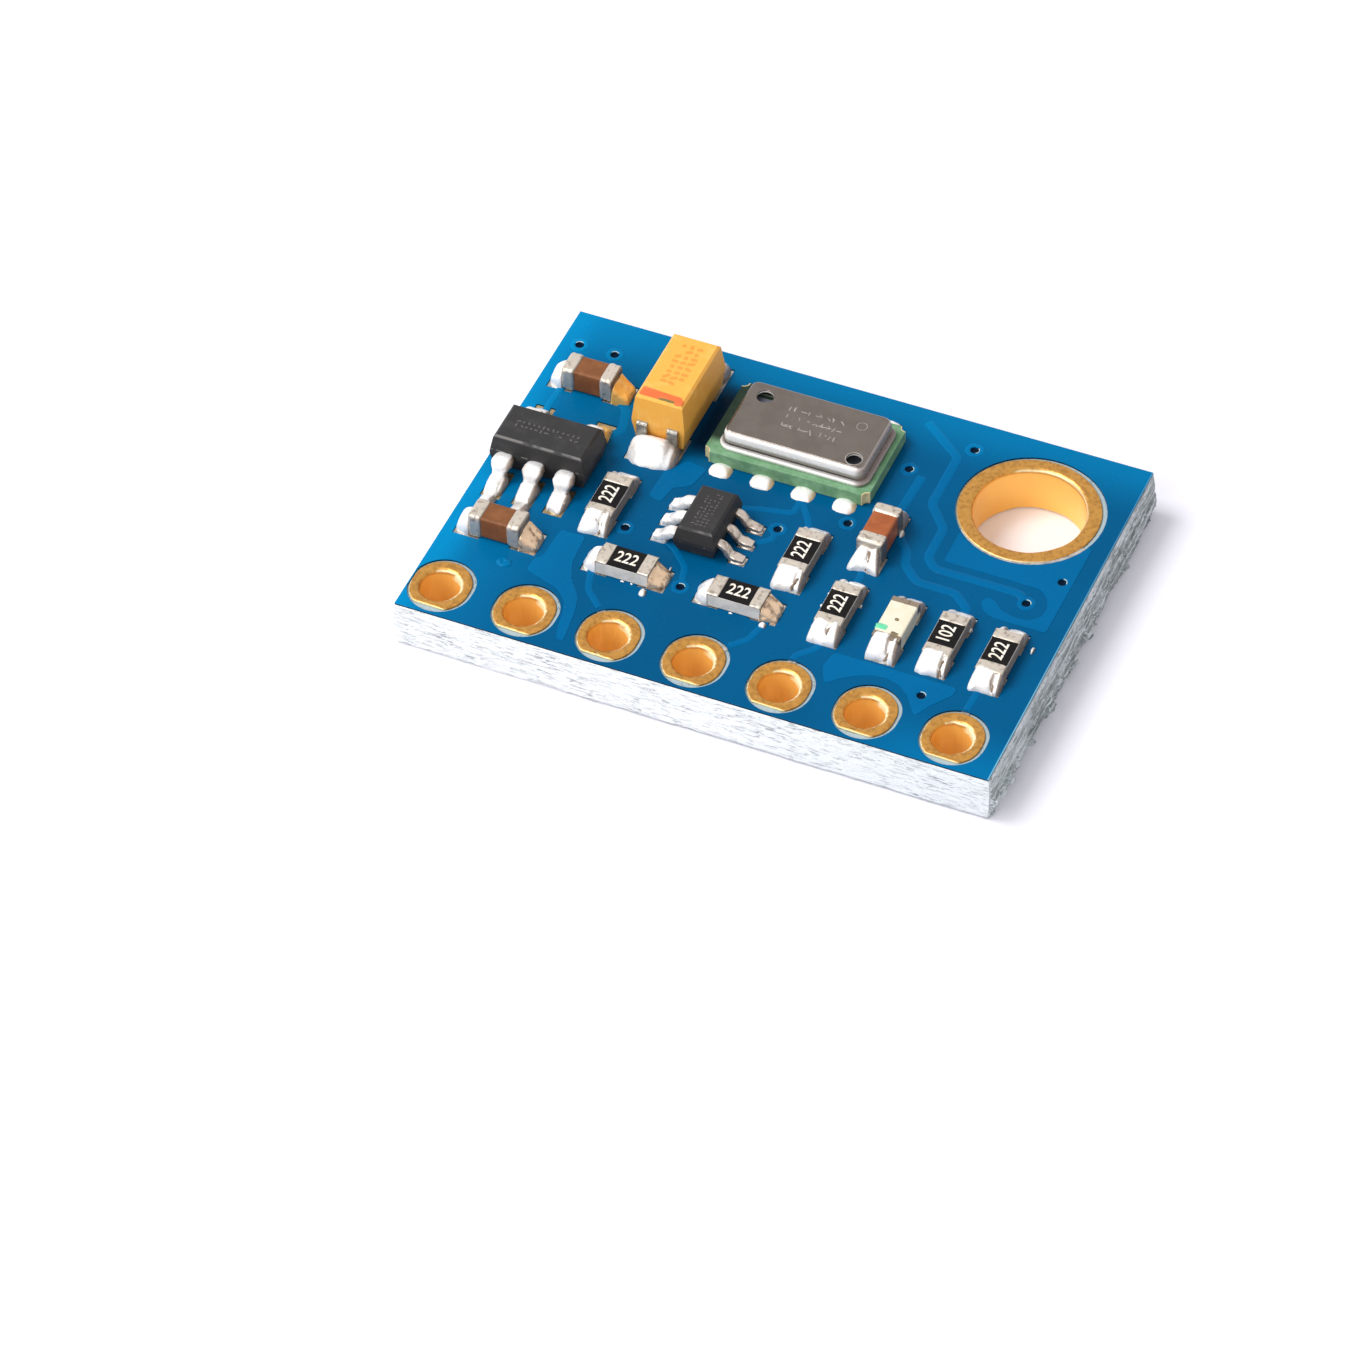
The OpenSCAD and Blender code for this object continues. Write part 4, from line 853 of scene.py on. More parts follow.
def boardEdges():
    # A profile gives the reach at each share v of the board's height: 0.052 - 0.04 |2v - 1|^3 where it is sawn,
    # and 0.03 + 0.13 exp(-((v - 0.38) / 0.3)^2) where it is snapped off
    left, front, right, back = boardLow[0], boardLow[1], boardHigh[0], boardHigh[1]
    calm = {"middle": 0.45, "spread": 0.5, "torn": 0.012, "spike": 0.005, "limit": 0.12}
    wild = {"middle": 0.32, "spread": 0.3, "torn": 0.08, "spike": 0.15, "limit": 0.42}
    corners = [np.array([left, front, 0]), np.array([right, front, 0]), np.array([right, back, 0]),
               np.array([left, back, 0])]
    sawn = lambda v: 0.052 - 0.04 * (np.abs(v - 0.5) * 2).clip(0, 1) ** 3
    snapped = lambda v: 0.03 + 0.13 * np.exp(-(((v - 0.38) / 0.3) ** 2))
    edges = [
        ("front_edge", [0, -1.0, 0], sawn, 0.022, calm, 3),
        ("right_edge", [1.0, 0, 0], snapped, 0.045, wild, 11),
        ("back_edge", [0, 1.0, 0], sawn, 0.02, calm, 17),
        ("left_edge", [-1.0, 0, 0], sawn, 0.025, calm, 23),
    ]
    for k, (name, outward, *look) in enumerate(edges):
        edgeSkin(name, corners[k], corners[(k + 1) % 4], np.array(outward), *look)


boardLands()
maskRelief()
viaRings()
boardEdges()
print("board dressed")

# Chip parts


def fillet(origin, out, width, run, rise, lobes, seed, crown=(8, 0.5), back=0.1, power=6.0):
    # Solder that falls from an end face at 0 to its toe at run: its height is
    # toe + (rise - toe)(1 - (x / run)^full), cut by a crease beside one lobe, and its toe wanders
    toe = lobes["toe"] * rise + 0.02
    outline = roundOutline(run + back, width, power, 64, (run - back) / 2, 0.02, seed)
    side = outline[:, 1] / (width / 2)
    ahead = (outline[:, 0] / run).clip(0, 1)
    wander = lobes["notch"] * np.exp(-(((side - lobes["at"]) / 0.16) ** 2))
    wander = wander + 0.07 * layeredNoise(side * 2.2 + 7, 0 * side + 3, seed, 2)
    left = (-side).clip(0) * ahead
    outline[:, 0] += run * lobes.get("flare", 0) * left
    outline[:, 1] -= width * 0.5 * lobes.get("flare", 0) * left
    outline[:, 0] -= ahead * run * wander
    outline[:, 1] *= 1 - lobes["taper"] * ahead

    def height(x, y):
        # The slope at x from the end face and y from its middle, less the crease and with a little noise
        share = (x / run).clip(0, 1)
        slope = toe + (rise - toe) * (1 - share ** lobes["full"])
        crease = np.exp(-(((y / width * 2 - lobes["at"]) / 0.13) ** 2))
        slope = slope * (1 - lobes["groove"] * (0.25 + 0.75 * share) * crease)
        return slope * (1 + 0.05 * layeredNoise(x * 4 + 9, y * 4 + 9, seed, 2))

    return blob(origin, out, outline, height, crown)


def lobesFor(seed, groove, notch, full, taper, toe):
    # How a fillet is cut: where its crease lies, how deep that is, how far its toe is notched and how full it
    # is, each varied a little
    spread = np.random.default_rng(seed)
    return {"at": spread.uniform(0.18, 0.66), "groove": groove * spread.uniform(0.5, 1.2), "taper": taper,
            "notch": notch * spread.uniform(0.3, 1.3), "full": full * spread.uniform(0.9, 1.15), "toe": toe}


def creaseOn(origin, width, run, rise, lobes, seed):
    # A thin ribbon along the fillet's groove: its height is the fillet's own at each share t of its run
    spread = np.random.default_rng(seed + 5)
    t = np.linspace(spread.uniform(0.1, 0.42), 0.93, 14)
    toe = lobes["toe"] * rise + 0.02
    slope = toe + (rise - toe) * (1 - t ** lobes["full"])
    slope = slope * (1 - lobes["groove"] * (0.25 + 0.75 * t)) * (1 - t**8) ** 0.5
    bend = width / 2 * (lobes["at"] + 0.16 * np.sin(t * 5 + seed))
    line = origin + np.stack([bend, -run * t, slope + 0.008], -1)
    wide = 0.06 * np.sin(math.pi * (0.12 + 0.8 * (t - t[0]) / (t[-1] - t[0]))) ** 0.7
    return sweep(line, east, wide, 0.03, 2.2, 12, 0.01, 0.3, seed)


def chipJoints():
    # A fillet at both ends of each chip part. A kind of joint gives groove, notch, fullness, taper and toe:
    # front and back belong to parts that stand along y, and the others to parts that lie along x.
    joints = {"run": 0.455, "width": 0.865, "warm": ["resistor_ends_2", "resistor_ends_3", "capacitor_caps_1"]}
    kinds = {"front": (0.6, 0.22, 1.35, 0.02, 0.3), "back": (0.6, 0.08, 1.35, 0.02, 0.3),
             "right": (0.2, 0.16, 0.85, 0.22, 0.3), "capacitor": (0.1, 0.04, 2.4, 0.3, 0.5),
             "resistor": (0.1, 0.06, 1.6, 0.24, 0.35)}
    special = {"lampRun": 0.42, "lampRise": 0.62, "lampBack": 0.26, "resistorRise": 0.53, "bulgeWidth": 0.68,
               "bulgeTaper": -0.36, "flare": 0.14}
    parts = [(f"resistor_ends_{i}", 0.43) for i in range(1, 8)]
    parts += [(f"capacitor_caps_{i}", 0.6) for i in range(1, 4)] + [("lamp_ends", 0.5)]
    bright, warm, amber, creases = [], [], [], []
    for k, (name, usual) in enumerate(parts):
        seat = Seat(name)
        for end in (1, -1):
            seed = 100 + 7 * k + end
            origin = seat.at(end * seat.length / 2, 0, landTop)
            upright = seat.along[1] > 0.5
            rightEnd = end > 0 and not upright
            if upright:
                kind = "front" if end < 0 else "back"
            else:
                kind = "right" if rightEnd else name.split("_")[0]
            lobes = lobesFor(seed, *kinds[kind])
            way, run, rise, back = end * seat.along, joints["run"], usual, 0.1
            if name == "lamp_ends" and end < 0:
                run, rise, back = special["lampRun"], special["lampRise"], special["lampBack"]
            elif name.startswith("resistor") and end < 0:
                rise, back = special["resistorRise"], 0.2 if upright else 0.12
            width = joints["width"]
            if name == "capacitor_caps_3" and end < 0:
                # A bulge over a narrow neck and a wide foot
                width, lobes["taper"] = special["bulgeWidth"], special["bulgeTaper"]
            if upright and end < 0:
                # The left lobe flares, and a thin brown ribbon runs down the crease beside the right one
                lobes["flare"] = special["flare"]
                creases.append(creaseOn(seat.at(-seat.length / 2, 0, landTop), width, run, rise, lobes, seed))
            rounded = end < 0 and not upright
            crown, power = ((3, 0.55), 3.4) if rounded else ((8, 0.5), 6.0)
            shape = fillet(origin, way, width, run, rise, lobes, seed, crown, back, power)
            # The second capacitor's right joint is amber, a painted reflection of the tantalum capacitor beside it
            if rightEnd and name == "capacitor_caps_2":
                amber.append(shape)
            elif rightEnd and name in joints["warm"]:
                warm.append(shape)
            else:
                bright.append(shape)
    addPiece("chip_joints", bright, solder, ["chip_solder"])
    addPiece("joint_creases", creases, creaseBrown)
    addPiece("warm_joints", warm, warmSolder)
    addPiece("amber_joint", amber, amberReflectionSolder)


def resistorTops():
    # Tin on the top of each end: a thin uneven cushion that laps the overcoat and the end face
    cushion = {"length": 0.36, "width": 0.79, "rise": 0.03, "rough": 0.35, "over": 0.01}
    shapes = []
    for i in range(1, 8):
        seat = Seat(f"resistor_ends_{i}")
        for end in (1, -1):
            origin = seat.at(end * (seat.length / 2 - cushion["length"] / 2 + cushion["over"]), 0, seat.high[2])
            outline = roundOutline(cushion["length"], cushion["width"], 9, 60, 0, 0.014, 200 + 9 * i + end)
            tall = uneven(cushion["rise"], cushion["rise"] * cushion["rough"], 6, 4, 200 + i)
            shapes.append(blob(origin, end * seat.along, outline, tall, (6, 0.5), 9, 0.02))
    addPiece("resistor_tops", shapes, capMetal)


def resistorFigures():
    # Each resistor's value figures, narrowed, raised a little from its overcoat and read along its length
    figures = {"size": 0.57, "depth": 0.006, "weight": 0.005, "narrow": 0.78, "above": 0.003,
               "values": ["222"] * 5 + ["102", "222"]}
    shapes = []
    for i, value in enumerate(figures["values"], 1):
        seat = Seat(f"resistor_overcoat_{i}")
        points, faces = lettering(value, figures["size"], figures["depth"], figures["weight"])
        spot = seat.at(0, 0, seat.high[2] + figures["above"])
        points[:, 0] *= figures["narrow"]
        placed = spot + points[:, :1] * seat.along + points[:, 1:2] * seat.across + points[:, 2:] * up
        shapes.append((placed, [], faces))
    addPiece("resistor_figures", shapes, figureInk)


def capacitorCaps():
    # Each cap is a rounded block of tinned metal, a little proud of the ceramic and uneven
    cap = {"length": 0.33, "round": 0.1, "proud": 0.004}
    for i in range(1, 4):
        seat = Seat(f"capacitor_caps_{i}")
        shapes = []
        for end in (1, -1):
            outer, inner = seat.length / 2 - cap["round"], seat.length / 2 - cap["length"]
            x = np.linspace(inner, outer, 12)
            middle = (seat.low[2] + seat.high[2]) / 2
            path = np.array([seat.at(end * value, 0, middle) for value in x])
            wide, tall = seat.width / 2 + cap["proud"], seat.height / 2 + cap["proud"]
            shapes.append(sweep(path, seat.across, wide, tall, 9, 40, cap["round"], 0.025, 300 + i * 5 + end))
        addPiece(f"capacitor_cap_pair_{i}", shapes, capMetal, [f"capacitor_caps_{i}"])


chipJoints()
resistorTops()
resistorFigures()
capacitorCaps()
print("chip parts dressed")

# Legs


def gullWing(origin, out, stations, halfWidth, halfThick, seed):
    # A leg through stations (reach, height), with its half width and thickness given along it
    out = unit(out)
    path = smoothPath(stations, 30)
    line = np.asarray(origin) + path[:, :1] * out + path[:, 1:] * up
    share = np.linspace(0, 1, 30)
    wide = np.interp(share, np.linspace(0, 1, len(halfWidth)), halfWidth)
    thick = np.interp(share, np.linspace(0, 1, len(halfThick)), halfThick)
    return sweep(line, np.cross(up, out), wide, thick, 3.0, 24, 0.04, 0.05, seed)


def regulatorLegs():
    # Three legs in front and two behind, coated with solder, each foot in a fillet with a run of its own
    low, high = nodeBox("regulator_body")
    middle = (low + high) / 2
    legs = {"pitch": 0.95, "start": 0.52, "jointWidth": 0.58, "jointRise": 0.34, "runs": [0.62, 0.66, 0.56, 0.5, 0.5],
            "stations": [[-0.12, 0.5], [0.12, 0.55], [0.3, 0.5], [0.42, 0.32], [0.5, 0.16], [0.74, 0.1]],
            "wide": [0.2, 0.28, 0.31, 0.21, 0.22, 0.26], "thick": [0.1, 0.16, 0.2, 0.13, 0.12, 0.11]}
    legShapes, jointShapes, amber = [], [], []
    for k, (step, front) in enumerate([(-1, True), (0, True), (1, True), (-1, False), (1, False)]):
        out = np.array([0, -1.0 if front else 1.0, 0])
        face = low[1] if front else high[1]
        origin = np.array([middle[0] + step * legs["pitch"], face, landTop + 0.02])
        legShapes.append(gullWing(origin, out, legs["stations"], legs["wide"], legs["thick"], 400 + k))
        base = origin + out * legs["start"] - up * 0.02
        lobes = lobesFor(420 + k, 0.12, 0.06, 1.1, 0.12, 0.4)
        shape = fillet(base, out, legs["jointWidth"], legs["runs"][k], legs["jointRise"], lobes, 420 + k, (4, 0.5),
                       0.24, 4.0)
        # The rear right foot's joint is amber, a painted reflection of the tantalum capacitor beside it
        (amber if k == 4 else jointShapes).append(shape)
    # The first two feet share their solder with the capacitor in front of them
    for k, (x, front, rear) in enumerate([(0.74, 4.45, 3.78), (1.72, 4.6, 3.75)]):
        outline = roundOutline(front - rear + 0.55, 0.52, 3, 40, 0, 0.06, 440 + k)
        tall = uneven(0.3, 0.06, 3, 5, 440 + k)
        spot = onBoard(x, (front + rear) / 2 + 0.1, landTop)
        jointShapes.append(blob(spot, [0, -1.0, 0], outline, tall, (2.6, 0.6)))
    addPiece("regulator_legs", legShapes, solder, ["regulator_leads"])
    addPiece("regulator_joints", jointShapes, solder, ["regulator_solder"])
    addPiece("regulator_warm_joint", amber, amberReflectionSolder)


def shifterLegs():
    # Three legs on each side: tin on the right, coated with solder on the left. A joint is a width, a run and a
    # rise.
    low, high = nodeBox("level_shifter_body")
    middle = (low + high) / 2
    pitch, start = 0.65, 0.5
    right = {"stations": [[-0.1, 0.46], [0.08, 0.46], [0.2, 0.34], [0.3, 0.16], [0.44, 0.1], [0.72, 0.08]],
             "wide": [0.13, 0.14, 0.15, 0.15, 0.16, 0.13], "thick": [0.09, 0.1, 0.11, 0.11, 0.1, 0.07],
             "full": 1.2, "joint": (0.34, 0.27, 0.09), "crown": (2, 0.7), "back": 0.2, "power": 3.0}
    left = {"stations": [[-0.1, 0.4], [0.12, 0.4], [0.26, 0.32], [0.38, 0.2], [0.52, 0.13], [0.66, 0.1]],
            "wide": [0.14, 0.17, 0.18, 0.18, 0.18, 0.18], "thick": [0.1, 0.13, 0.16, 0.16, 0.14, 0.12],
            "full": 1.3, "joint": (0.38, 0.3, 0.26), "crown": (3, 0.5), "back": 0.24, "power": 3.5}
    legShapes, jointShapes = {1: [], -1: []}, {1: [], -1: []}
    for k, (step, way) in enumerate([(s, w) for w in (1, -1) for s in (-1, 0, 1)]):
        side = right if way > 0 else left
        out = np.array([float(way), 0, 0])
        face = high[0] if way > 0 else low[0]
        origin = np.array([face, middle[1] + step * pitch, landTop + 0.02])
        base = origin + out * start - up * 0.02
        legShapes[way].append(gullWing(origin, out, side["stations"], side["wide"], side["thick"], 500 + k))
        lobes = lobesFor(520 + k, 0.1, 0.05, side["full"], 0.1, 0.5)
        joint = fillet(base, out, *side["joint"], lobes, 520 + k, side["crown"], side["back"], side["power"])
        jointShapes[way].append(joint)
    addPiece("level_shifter_legs", legShapes[1], tinned, ["level_shifter_leads"])
    addPiece("level_shifter_left_legs", legShapes[-1], solder)
    addPiece("level_shifter_joints", jointShapes[-1], solder, ["level_shifter_solder"])
    addPiece("level_shifter_right_joints", jointShapes[1], tinned)


regulatorLegs()
shifterLegs()
print("legs bent")

# Faint marks, which stand for printing that can't be read


def strokes(middle, along, size, rows, columns, z, seed, stroke, gaps=0.0):
    # Rows of little bars, upright or leaning, that fill a rectangle of the given size, some of them left out
    spread = np.random.default_rng(seed)
    across = np.cross(up, along)
    shapes = []
    for row in range(rows):
        for column in range(columns):
            u = ((column + 0.5) / columns - 0.5) * size[0] + spread.uniform(-0.02, 0.02)
            v = ((row + 0.5) / rows - 0.5) * size[1]
            lean = spread.choice([-0.8, -0.4, 0.0, 0.0, 0.3, 1.3, 1.57])
            way = unit(along * math.sin(lean) + across * math.cos(lean))
            length = stroke[1] * spread.uniform(0.5, 1.0)
            if spread.uniform() < gaps:
                continue
            outline = roundOutline(length, stroke[0], 4, 14, 0, 0.06, seed + row * 9 + column)
            spot = np.array([middle[0], middle[1], z]) + u * along + v * across
            shapes.append(blob(spot, way, outline, level(0.004), (6, 0.5), 3, 0.006))
    return shapes


def chipMarks():
    # Strokes on the tops of both black mouldings and, in two layers, on the sensor's lid. A layer has its node,
    # a shift from its middle, a direction, the rectangle that it fills, rows, columns, how deep it is set, a seed,
    # a stroke's width and length, and the share that is left out.
    layers = [
        ("regulator_body", (0, 0), east, (1.95, 0.34), 2, 13, 0.001, 900, (0.055, 0.15), 0.15),
        ("level_shifter_body", (0, 0), north, (1.4, 0.5), 4, 11, 0.001, 930, (0.045, 0.11), 0.2),
        ("sensor_lid", (0.1, 0.05), east, (1.75, 1.05), 3, 12, 0.002, 960, (0.035, 0.24), 0.3),
        ("sensor_lid", (0.1, 0.1), east, (1.7, 1.05), 3, 13, 0.002, 975, (0.03, 0.16), 0.4),
    ]
    marks = {}
    for name, shift, along, size, rows, columns, sunk, seed, stroke, gaps in layers:
        low, high = nodeBox(name)
        middle = (low + high) / 2 + [*shift, 0]
        drawn = strokes(middle, along, size, rows, columns, high[2] - sunk, seed, stroke, gaps)
        marks[name] = marks.get(name, []) + drawn
    addPiece("regulator_marks", marks["regulator_body"], greyMark)
    addPiece("level_shifter_marks", marks["level_shifter_body"], greyMark)
    addPiece("cover_marks", marks["sensor_lid"], lidMark)


def lampMarks():
    # The green corner of the lamp, the die that shows through its lens, and a smear of resin in front. Each spot
    # has a place, how deep it is set, an outline, a height and a number of rings.
    spots = {"corner": (12.99, 3.75, 0.03, (0.24, 0.38, 4, 28, 0, 0.1, 850), 0.045, 6),
             "die": (13.28, 4.14, 0.004, (0.13, 0.15, 2.6, 24, 0, 0.15, 852), 0.008, 5),
             "smear": (13.42, 3.62, 0.02, (0.15, 0.28, 2.4, 24, 0, 0.25, 854), 0.03, 5)}
    top = nodeBox("lamp_lens")[1][2]
    shapes = {}
    for name, (x, y, sunk, outline, tall, rings) in spots.items():
        place = onBoard(x, y, top - sunk)
        shapes[name] = blob(place, [0, -1.0, 0], roundOutline(*outline), level(tall), (4, 0.5), rings)
    addPiece("lamp_corner", [shapes["corner"]], greenMark)
    addPiece("lamp_specks", [shapes["die"], shapes["smear"]], oliveMark)


chipMarks()
lampMarks()
print("marks drawn")

# Tantalum capacitor


def tantalumDressing():
    # Ink on the moulding's top, and the solder that climbs its two strips
    low, high = nodeBox("tantalum_body")
    seat = Seat("tantalum_terminals")
    middle = (low + high) / 2
    ink = {"side": 0.17, "front": 0.165, "thick": 0.006, "bend": 0.06, "drip": 0.26, "dripThick": 0.014,
           "stainLength": 0.6, "stainWidth": 0.1}
    joint = {"width": 1.54, "run": 0.76, "rise": 0.66, "back": 0.14}
    left, front = low[0] + ink["side"], low[1] + ink["front"]
    flat = level(ink["thick"])
    # A band of orange along the front of the top, with a grey stain on its front edge
    wedge = np.array([[-0.02, 0.0], [0.6, 0.0], [1.26, 0.0], [1.28, 0.14], [1.22, 0.3], [0.7, 0.32], [0.0, 0.37]])
    loop = bentLoop(wedge, ink["bend"])
    wedge = evenly(np.vstack([loop, loop[:1]]), 61)[:-1]
    bar = blob([left, front, high[2] - 0.002], east, wedge, flat, (14, 0.5), 7, 0.01)
    addPiece("polarity_bar", [bar], orangeInk)
    outline = roundOutline(ink["drip"], ink["drip"], 3.5, 40, 0, 0.05, 614)
    spot = [high[0] - ink["side"] - 0.1, front + 0.1, high[2] - 0.004]
    drip = blob(spot, east, outline, level(ink["dripThick"]), (8, 0.5), 8, 0.34)
    addPiece("polarity_drip", [drip], orangeInk)
    smear = roundOutline(ink["stainLength"], ink["stainWidth"], 2.5, 30, 0, 0.2, 612)
    stain = blob([left + 0.86, front + 0.04, high[2] + 0.002], east, smear, flat, (6, 0.5), 4, 0.01)
    addPiece("polarity_stain", [stain], stainInk)
    marks = strokes(middle + [0.02, 0.2, 0], north, (1.75, 0.72), 3, 8, high[2] - 0.002, 620, (0.13, 0.27), 0.12)
    addPiece("tantalum_marks", marks, brownInk)
    shapes = []
    for end in (1, -1):
        lobes = {"at": 0.66, "groove": 0.22, "taper": 0.1, "notch": 0.08, "full": 1.9, "toe": 0.26}
        origin = seat.at(end * seat.length / 2, 0, landTop)
        shapes.append(fillet(origin, end * seat.along, joint["width"], joint["run"], joint["rise"], lobes, 640 + end,
                             (3.2, 0.5), joint["back"], 3.4))
    addPiece("tantalum_joints", shapes, solder, ["tantalum_solder"])


# Pressure sensor


def roundedBoxPath(length, width, radius, count=26):
    # Points round a rectangle with rounded corners, and the outward direction at each
    turn = np.linspace(0, math.pi / 2, count)
    points, ways = [], []
    for k, (sx, sy) in enumerate([(1, 1), (-1, 1), (-1, -1), (1, -1)]):
        angle = turn + k * math.pi / 2
        way = np.stack([np.cos(angle), np.sin(angle)], -1)
        centre = np.array([sx * (length / 2 - radius), sy * (width / 2 - radius)])
        points.append(centre + radius * way)
        ways.append(way)
    return np.concatenate(points), np.concatenate(ways)


def sensorLid():
    # The lid's wall is a profile of (inset, height) carried round its rim, and its top is a plate with two holes
    low, high = nodeBox("sensor_lid")
    lid = {"corner": 0.44, "wall": 0.1, "vent": (-1.55, 0.6, 0.25), "port": (1.72, -0.8, 0.23),
           "ring": (1.45, 0.48, 0.15)}
    length, width, tall = high[0] - low[0], high[1] - low[1], high[2] - low[2]
    quarter = np.linspace(0, math.pi / 2, 7)
    rim = [(0.13 - 0.07 * math.sin(a), 0.08 + 0.07 * math.cos(a)) for a in quarter[::-1]]
    slope = [(0.165, 0.155), (0.175, 0.17), (0.178, 0.2), (0.18, 0.26), (0.18, 0.34)]
    shoulder = [(0.18 + 0.14 * (1 - math.cos(a)), tall - 0.2 + 0.197 * math.sin(a)) for a in quarter[1:]]
    outside = [(0.08, 0.0)] + rim + slope + shoulder
    inside = [(0.325, tall - 0.006), (0.34, tall - 0.03), (0.34, tall - lid["wall"]), (0.3, tall - 0.14),
              (0.26, tall - 0.24), (0.24, 0.12), (0.22, 0.0)]
    inset, height = np.array(outside + inside).T
    path, way = roundedBoxPath(length, width, lid["corner"])
    centre = (low + high) / 2
    ring = path[None] - inset[:, None, None] * way[None]
    points = np.concatenate([ring, np.broadcast_to(height[:, None, None], ring.shape[:2] + (1,))], -1)
    points = points + np.array([centre[0], centre[1], low[2]])
    wall = (points, [gridFaces(len(inset), len(path), True, True)], [])
    angle = np.linspace(0, 2 * math.pi, 48, endpoint=False)
    circle = np.stack([np.cos(angle), np.sin(angle)], -1)
    holes = [circle * radius + [x, y] for x, y, radius in (lid["vent"], lid["port"])]
    outlines = [path - 0.3 * way] + holes
    top = plate([outline + centre[:2] for outline in outlines], high[2] - lid["wall"], high[2] - 0.003, 0.02)
    addPiece("sensor_cover", [wall, top], drawnLid, ["sensor_lid"])
    # A bright rim round the port, and a ring scribed beside it
    turn = np.radians(np.linspace(0, 352, 45))
    rings = []
    for (x, y, radius), beyond, thick in ((lid["port"], 0.012, 0.016), (lid["ring"], 0.0, 0.014)):
        radius = radius + beyond
        line = np.stack([x + radius * np.cos(turn), y + radius * np.sin(turn), high[2] + 0 * turn], -1)
        line = np.vstack([line, line[:1]]) + np.array([centre[0], centre[1], 0])
        rings.append(sweep(line, up, 0.008, thick, 2.5, 10))
    addPiece("cover_rings", rings, lidMark)


def sensorJoints():
    # Beads of solder that stand at the sensor's terminals and cover their lands
    low, high = nodeBox("sensor_base")
    middle = (low + high) / 2
    bead = {"pitch": 1.25, "length": 0.6, "width": 0.7, "rise": 0.2, "out": 0.165}
    shapes = []
    for way in (-1, 1):
        for k in range(4):
            seed = 700 + k + 10 * way
            x = middle[0] + (k - 1.5) * bead["pitch"]
            y = (low[1] if way < 0 else high[1]) + way * bead["out"]
            outline = roundOutline(bead["length"], bead["width"], 2.7, 40, 0.02, 0.03, seed)
            tall = uneven(bead["rise"], 0.03, 4, 3, seed)
            shapes.append(blob([x, y, landTop], [0, float(way), 0], outline, tall, (1.9, 0.66)))
    addPiece("sensor_joints", shapes, beadSolder, ["sensor_solder"])


tantalumDressing()
sensorLid()
sensorJoints()
print("tantalum capacitor and sensor dressed")

# Loose beads of solder and a bubble in the mask


def solderBeads():
    # Each bead has a place, a width, a depth and a height
    beads = [(6.2, 2.92, 0.2, 0.3, 0.1), (6.55, 4.05, 0.06, 0.2, 0.05), (5.5, 3.13, 0.12, 0.05, 0.03),
             (5.78, 3.13, 0.08, 0.05, 0.03), (16.97, 4.93, 0.1, 0.24, 0.09), (11.98, 7.75, 0.16, 0.26, 0.12),
             (10.98, 4.85, 0.07, 0.1, 0.05), (10.96, 4.35, 0.07, 0.1, 0.05), (11.99, 4.72, 0.07, 0.12, 0.05),
             (15.12, 5.0, 0.12, 0.14, 0.08), (8.75, 3.13, 0.12, 0.05, 0.03), (9.75, 3.02, 0.22, 0.2, 0.1)]
    shapes = []
    for k, (x, y, wide, deep, tall) in enumerate(beads):
        outline = roundOutline(wide, deep, 2.2, 24, 0, 0.15, 800 + k)
        shapes.append(blob(onBoard(x, y, boardTop), east, outline, level(tall), (2, 0.5), 7))
    addPiece("solder_beads", shapes, solder)
    outline = roundOutline(0.46, 0.34, 2.2, 32, 0, 0.15, 830)
    bubble = blob(onBoard(2.15, 2.58, boardTop), east, outline, uneven(0.05, 0.03, 9, 4, 831), (2, 0.6))
    addPiece("mask_bubble", [bubble], maskOverCopper)


solderBeads()

# Floor, light and camera

stage = {"size": 1600, "under": 0.02, "plain": 0.09, "glow": 1.1, "ambient": 0.54,
         "paper": (0.94, 0.935, 0.985, 1), "sky": (0.96, 0.93, 1.0, 1), "white": (1, 1, 1, 1)}


def whiteStage(name):
    # Pale surface that keeps the object's shadow. To the camera and in reflections some plain white is mixed in:
    # diffuse (1 - share) + glow share
    material = bpy.data.materials.new(name)
    graph = Graph(material, {})
    share = graph.seenBy("Is Camera Ray", "Is Glossy Ray", "Is Transmission Ray") * stage["plain"]
    diffuse = graph.add("ShaderNodeBsdfDiffuse", {}, {"Color": stage["paper"]})
    glow = graph.add("ShaderNodeEmission", {}, {"Strength": stage["glow"]})
    mix = graph.add("ShaderNodeMixShader", {}, {0: share, 1: diffuse, 2: glow})
    graph.add("ShaderNodeOutputMaterial", {}, {0: mix})
    return material


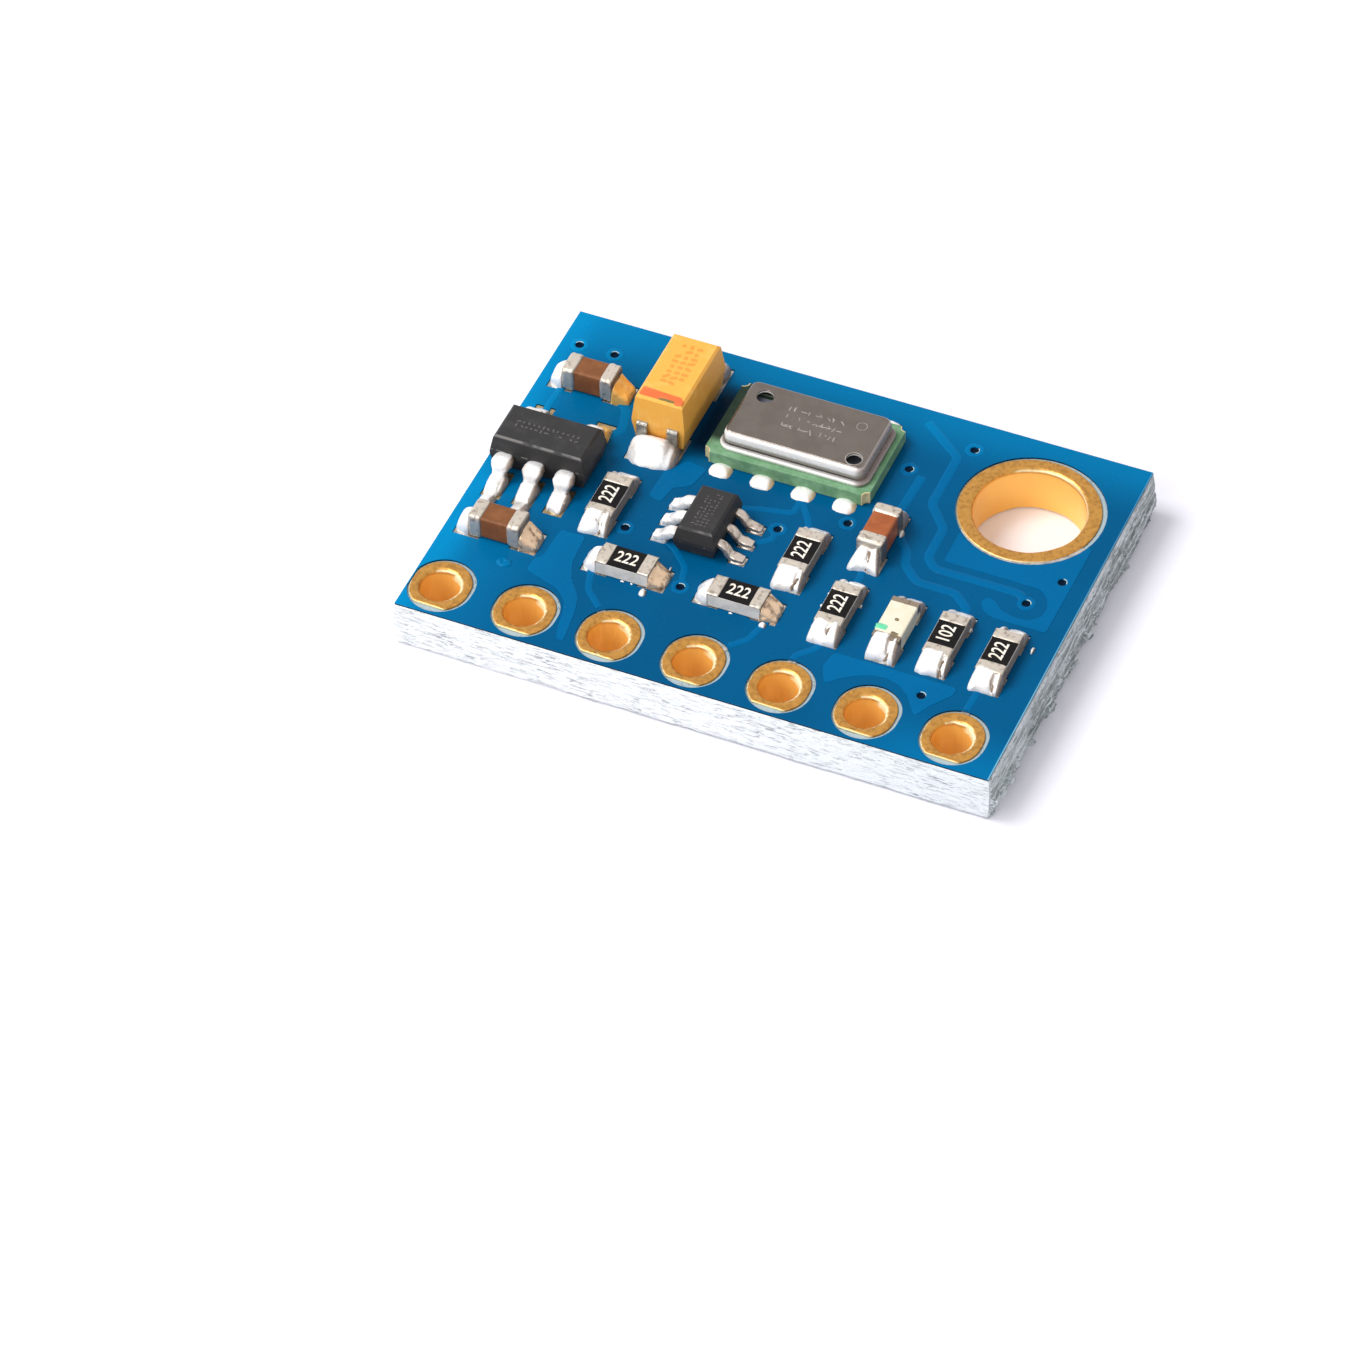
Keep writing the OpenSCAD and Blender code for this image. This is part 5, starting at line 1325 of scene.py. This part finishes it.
def floorAndWorld():
    # A square floor just under the board, and a world that is white to the camera and in metal, and lights the
    # object at the ambient strength
    half, height = stage["size"] / 2 * mm, -stage["under"] * mm
    mesh = bpy.data.meshes.new("floor")
    corners = [(-half, -half, height), (half, -half, height), (half, half, height), (-half, half, height)]
    mesh.from_pydata(corners, [], [(0, 1, 2, 3)])
    mesh.materials.append(whiteStage("floor"))
    floor = bpy.data.objects.new("floor", mesh)
    scene.collection.objects.link(floor)
    world = bpy.data.worlds.new("studio")
    scene.world = world
    graph = Graph(world, {})
    seen = graph.seenBy("Is Camera Ray", "Is Glossy Ray")
    tint = graph.blend(stage["sky"], stage["white"], seen)
    strength = graph.add("ShaderNodeMapRange", {}, {"Value": seen, "To Min": stage["ambient"], "To Max": 1.0})
    background = graph.add("ShaderNodeBackground", {}, {"Color": tint, "Strength": strength})
    graph.add("ShaderNodeOutputWorld", {}, {0: background})


def areaLight(name, direction, distance, size, power):
    # A rectangle that stands at the distance in the direction, and shines back at the origin
    direction = unit(direction)
    lamp = bpy.data.lights.new(name, "AREA")
    lamp.shape = "RECTANGLE"
    lamp.size, lamp.size_y = size[0] * mm, size[1] * mm
    lamp.energy = power
    light = bpy.data.objects.new(name, lamp)
    scene.collection.objects.link(light)
    side = unit(np.cross(up, direction))
    light.matrix_world = Matrix(np.vstack([
        np.c_[side, np.cross(direction, side), direction, direction * distance * mm], [0, 0, 0, 1]]).tolist())


def cameraAndLights():
    # The camera's turn, an axis times an angle, and its place come from the photograph's own geometry. As a
    # matrix the turn is 1 + sin(angle) K + (1 - cos(angle)) K K, where K is the cross product with the axis.
    view = {"lens": 172.4, "sensor": 36, "near": 0.001, "far": 10, "place": (50.278, -117.834, 130.059),
            "turn": (2.342807, 0.473153, -0.214551)}
    lights = {"key": ((-0.52, -0.13, 0.84), 500, (230, 230), 1.55),
              "front": ((-0.28, -0.76, 0.58), 500, (380, 330), 1.0)}
    for name, values in lights.items():
        areaLight(name, *values)
    turn = np.array(view["turn"])
    angle = np.linalg.norm(turn)
    x, y, z = turn / angle
    cross = np.array([[0, -z, y], [z, 0, -x], [-y, x, 0]])
    toCamera = np.eye(3) + math.sin(angle) * cross + (1 - math.cos(angle)) * cross @ cross
    axes = toCamera.T @ np.diag([1.0, -1.0, -1.0])
    lens = bpy.data.cameras.new("camera")
    lens.lens = view["lens"]
    lens.sensor_width = view["sensor"]
    lens.clip_start, lens.clip_end = view["near"], view["far"]
    camera = bpy.data.objects.new("camera", lens)
    scene.collection.objects.link(camera)
    place = np.array(view["place"]) * mm
    camera.matrix_world = Matrix(np.vstack([np.c_[axes, place], [0, 0, 0, 1]]).tolist())
    scene.camera = camera
    scene.view_settings.view_transform = "Standard"


floorAndWorld()
cameraAndLights()
print("stage set")
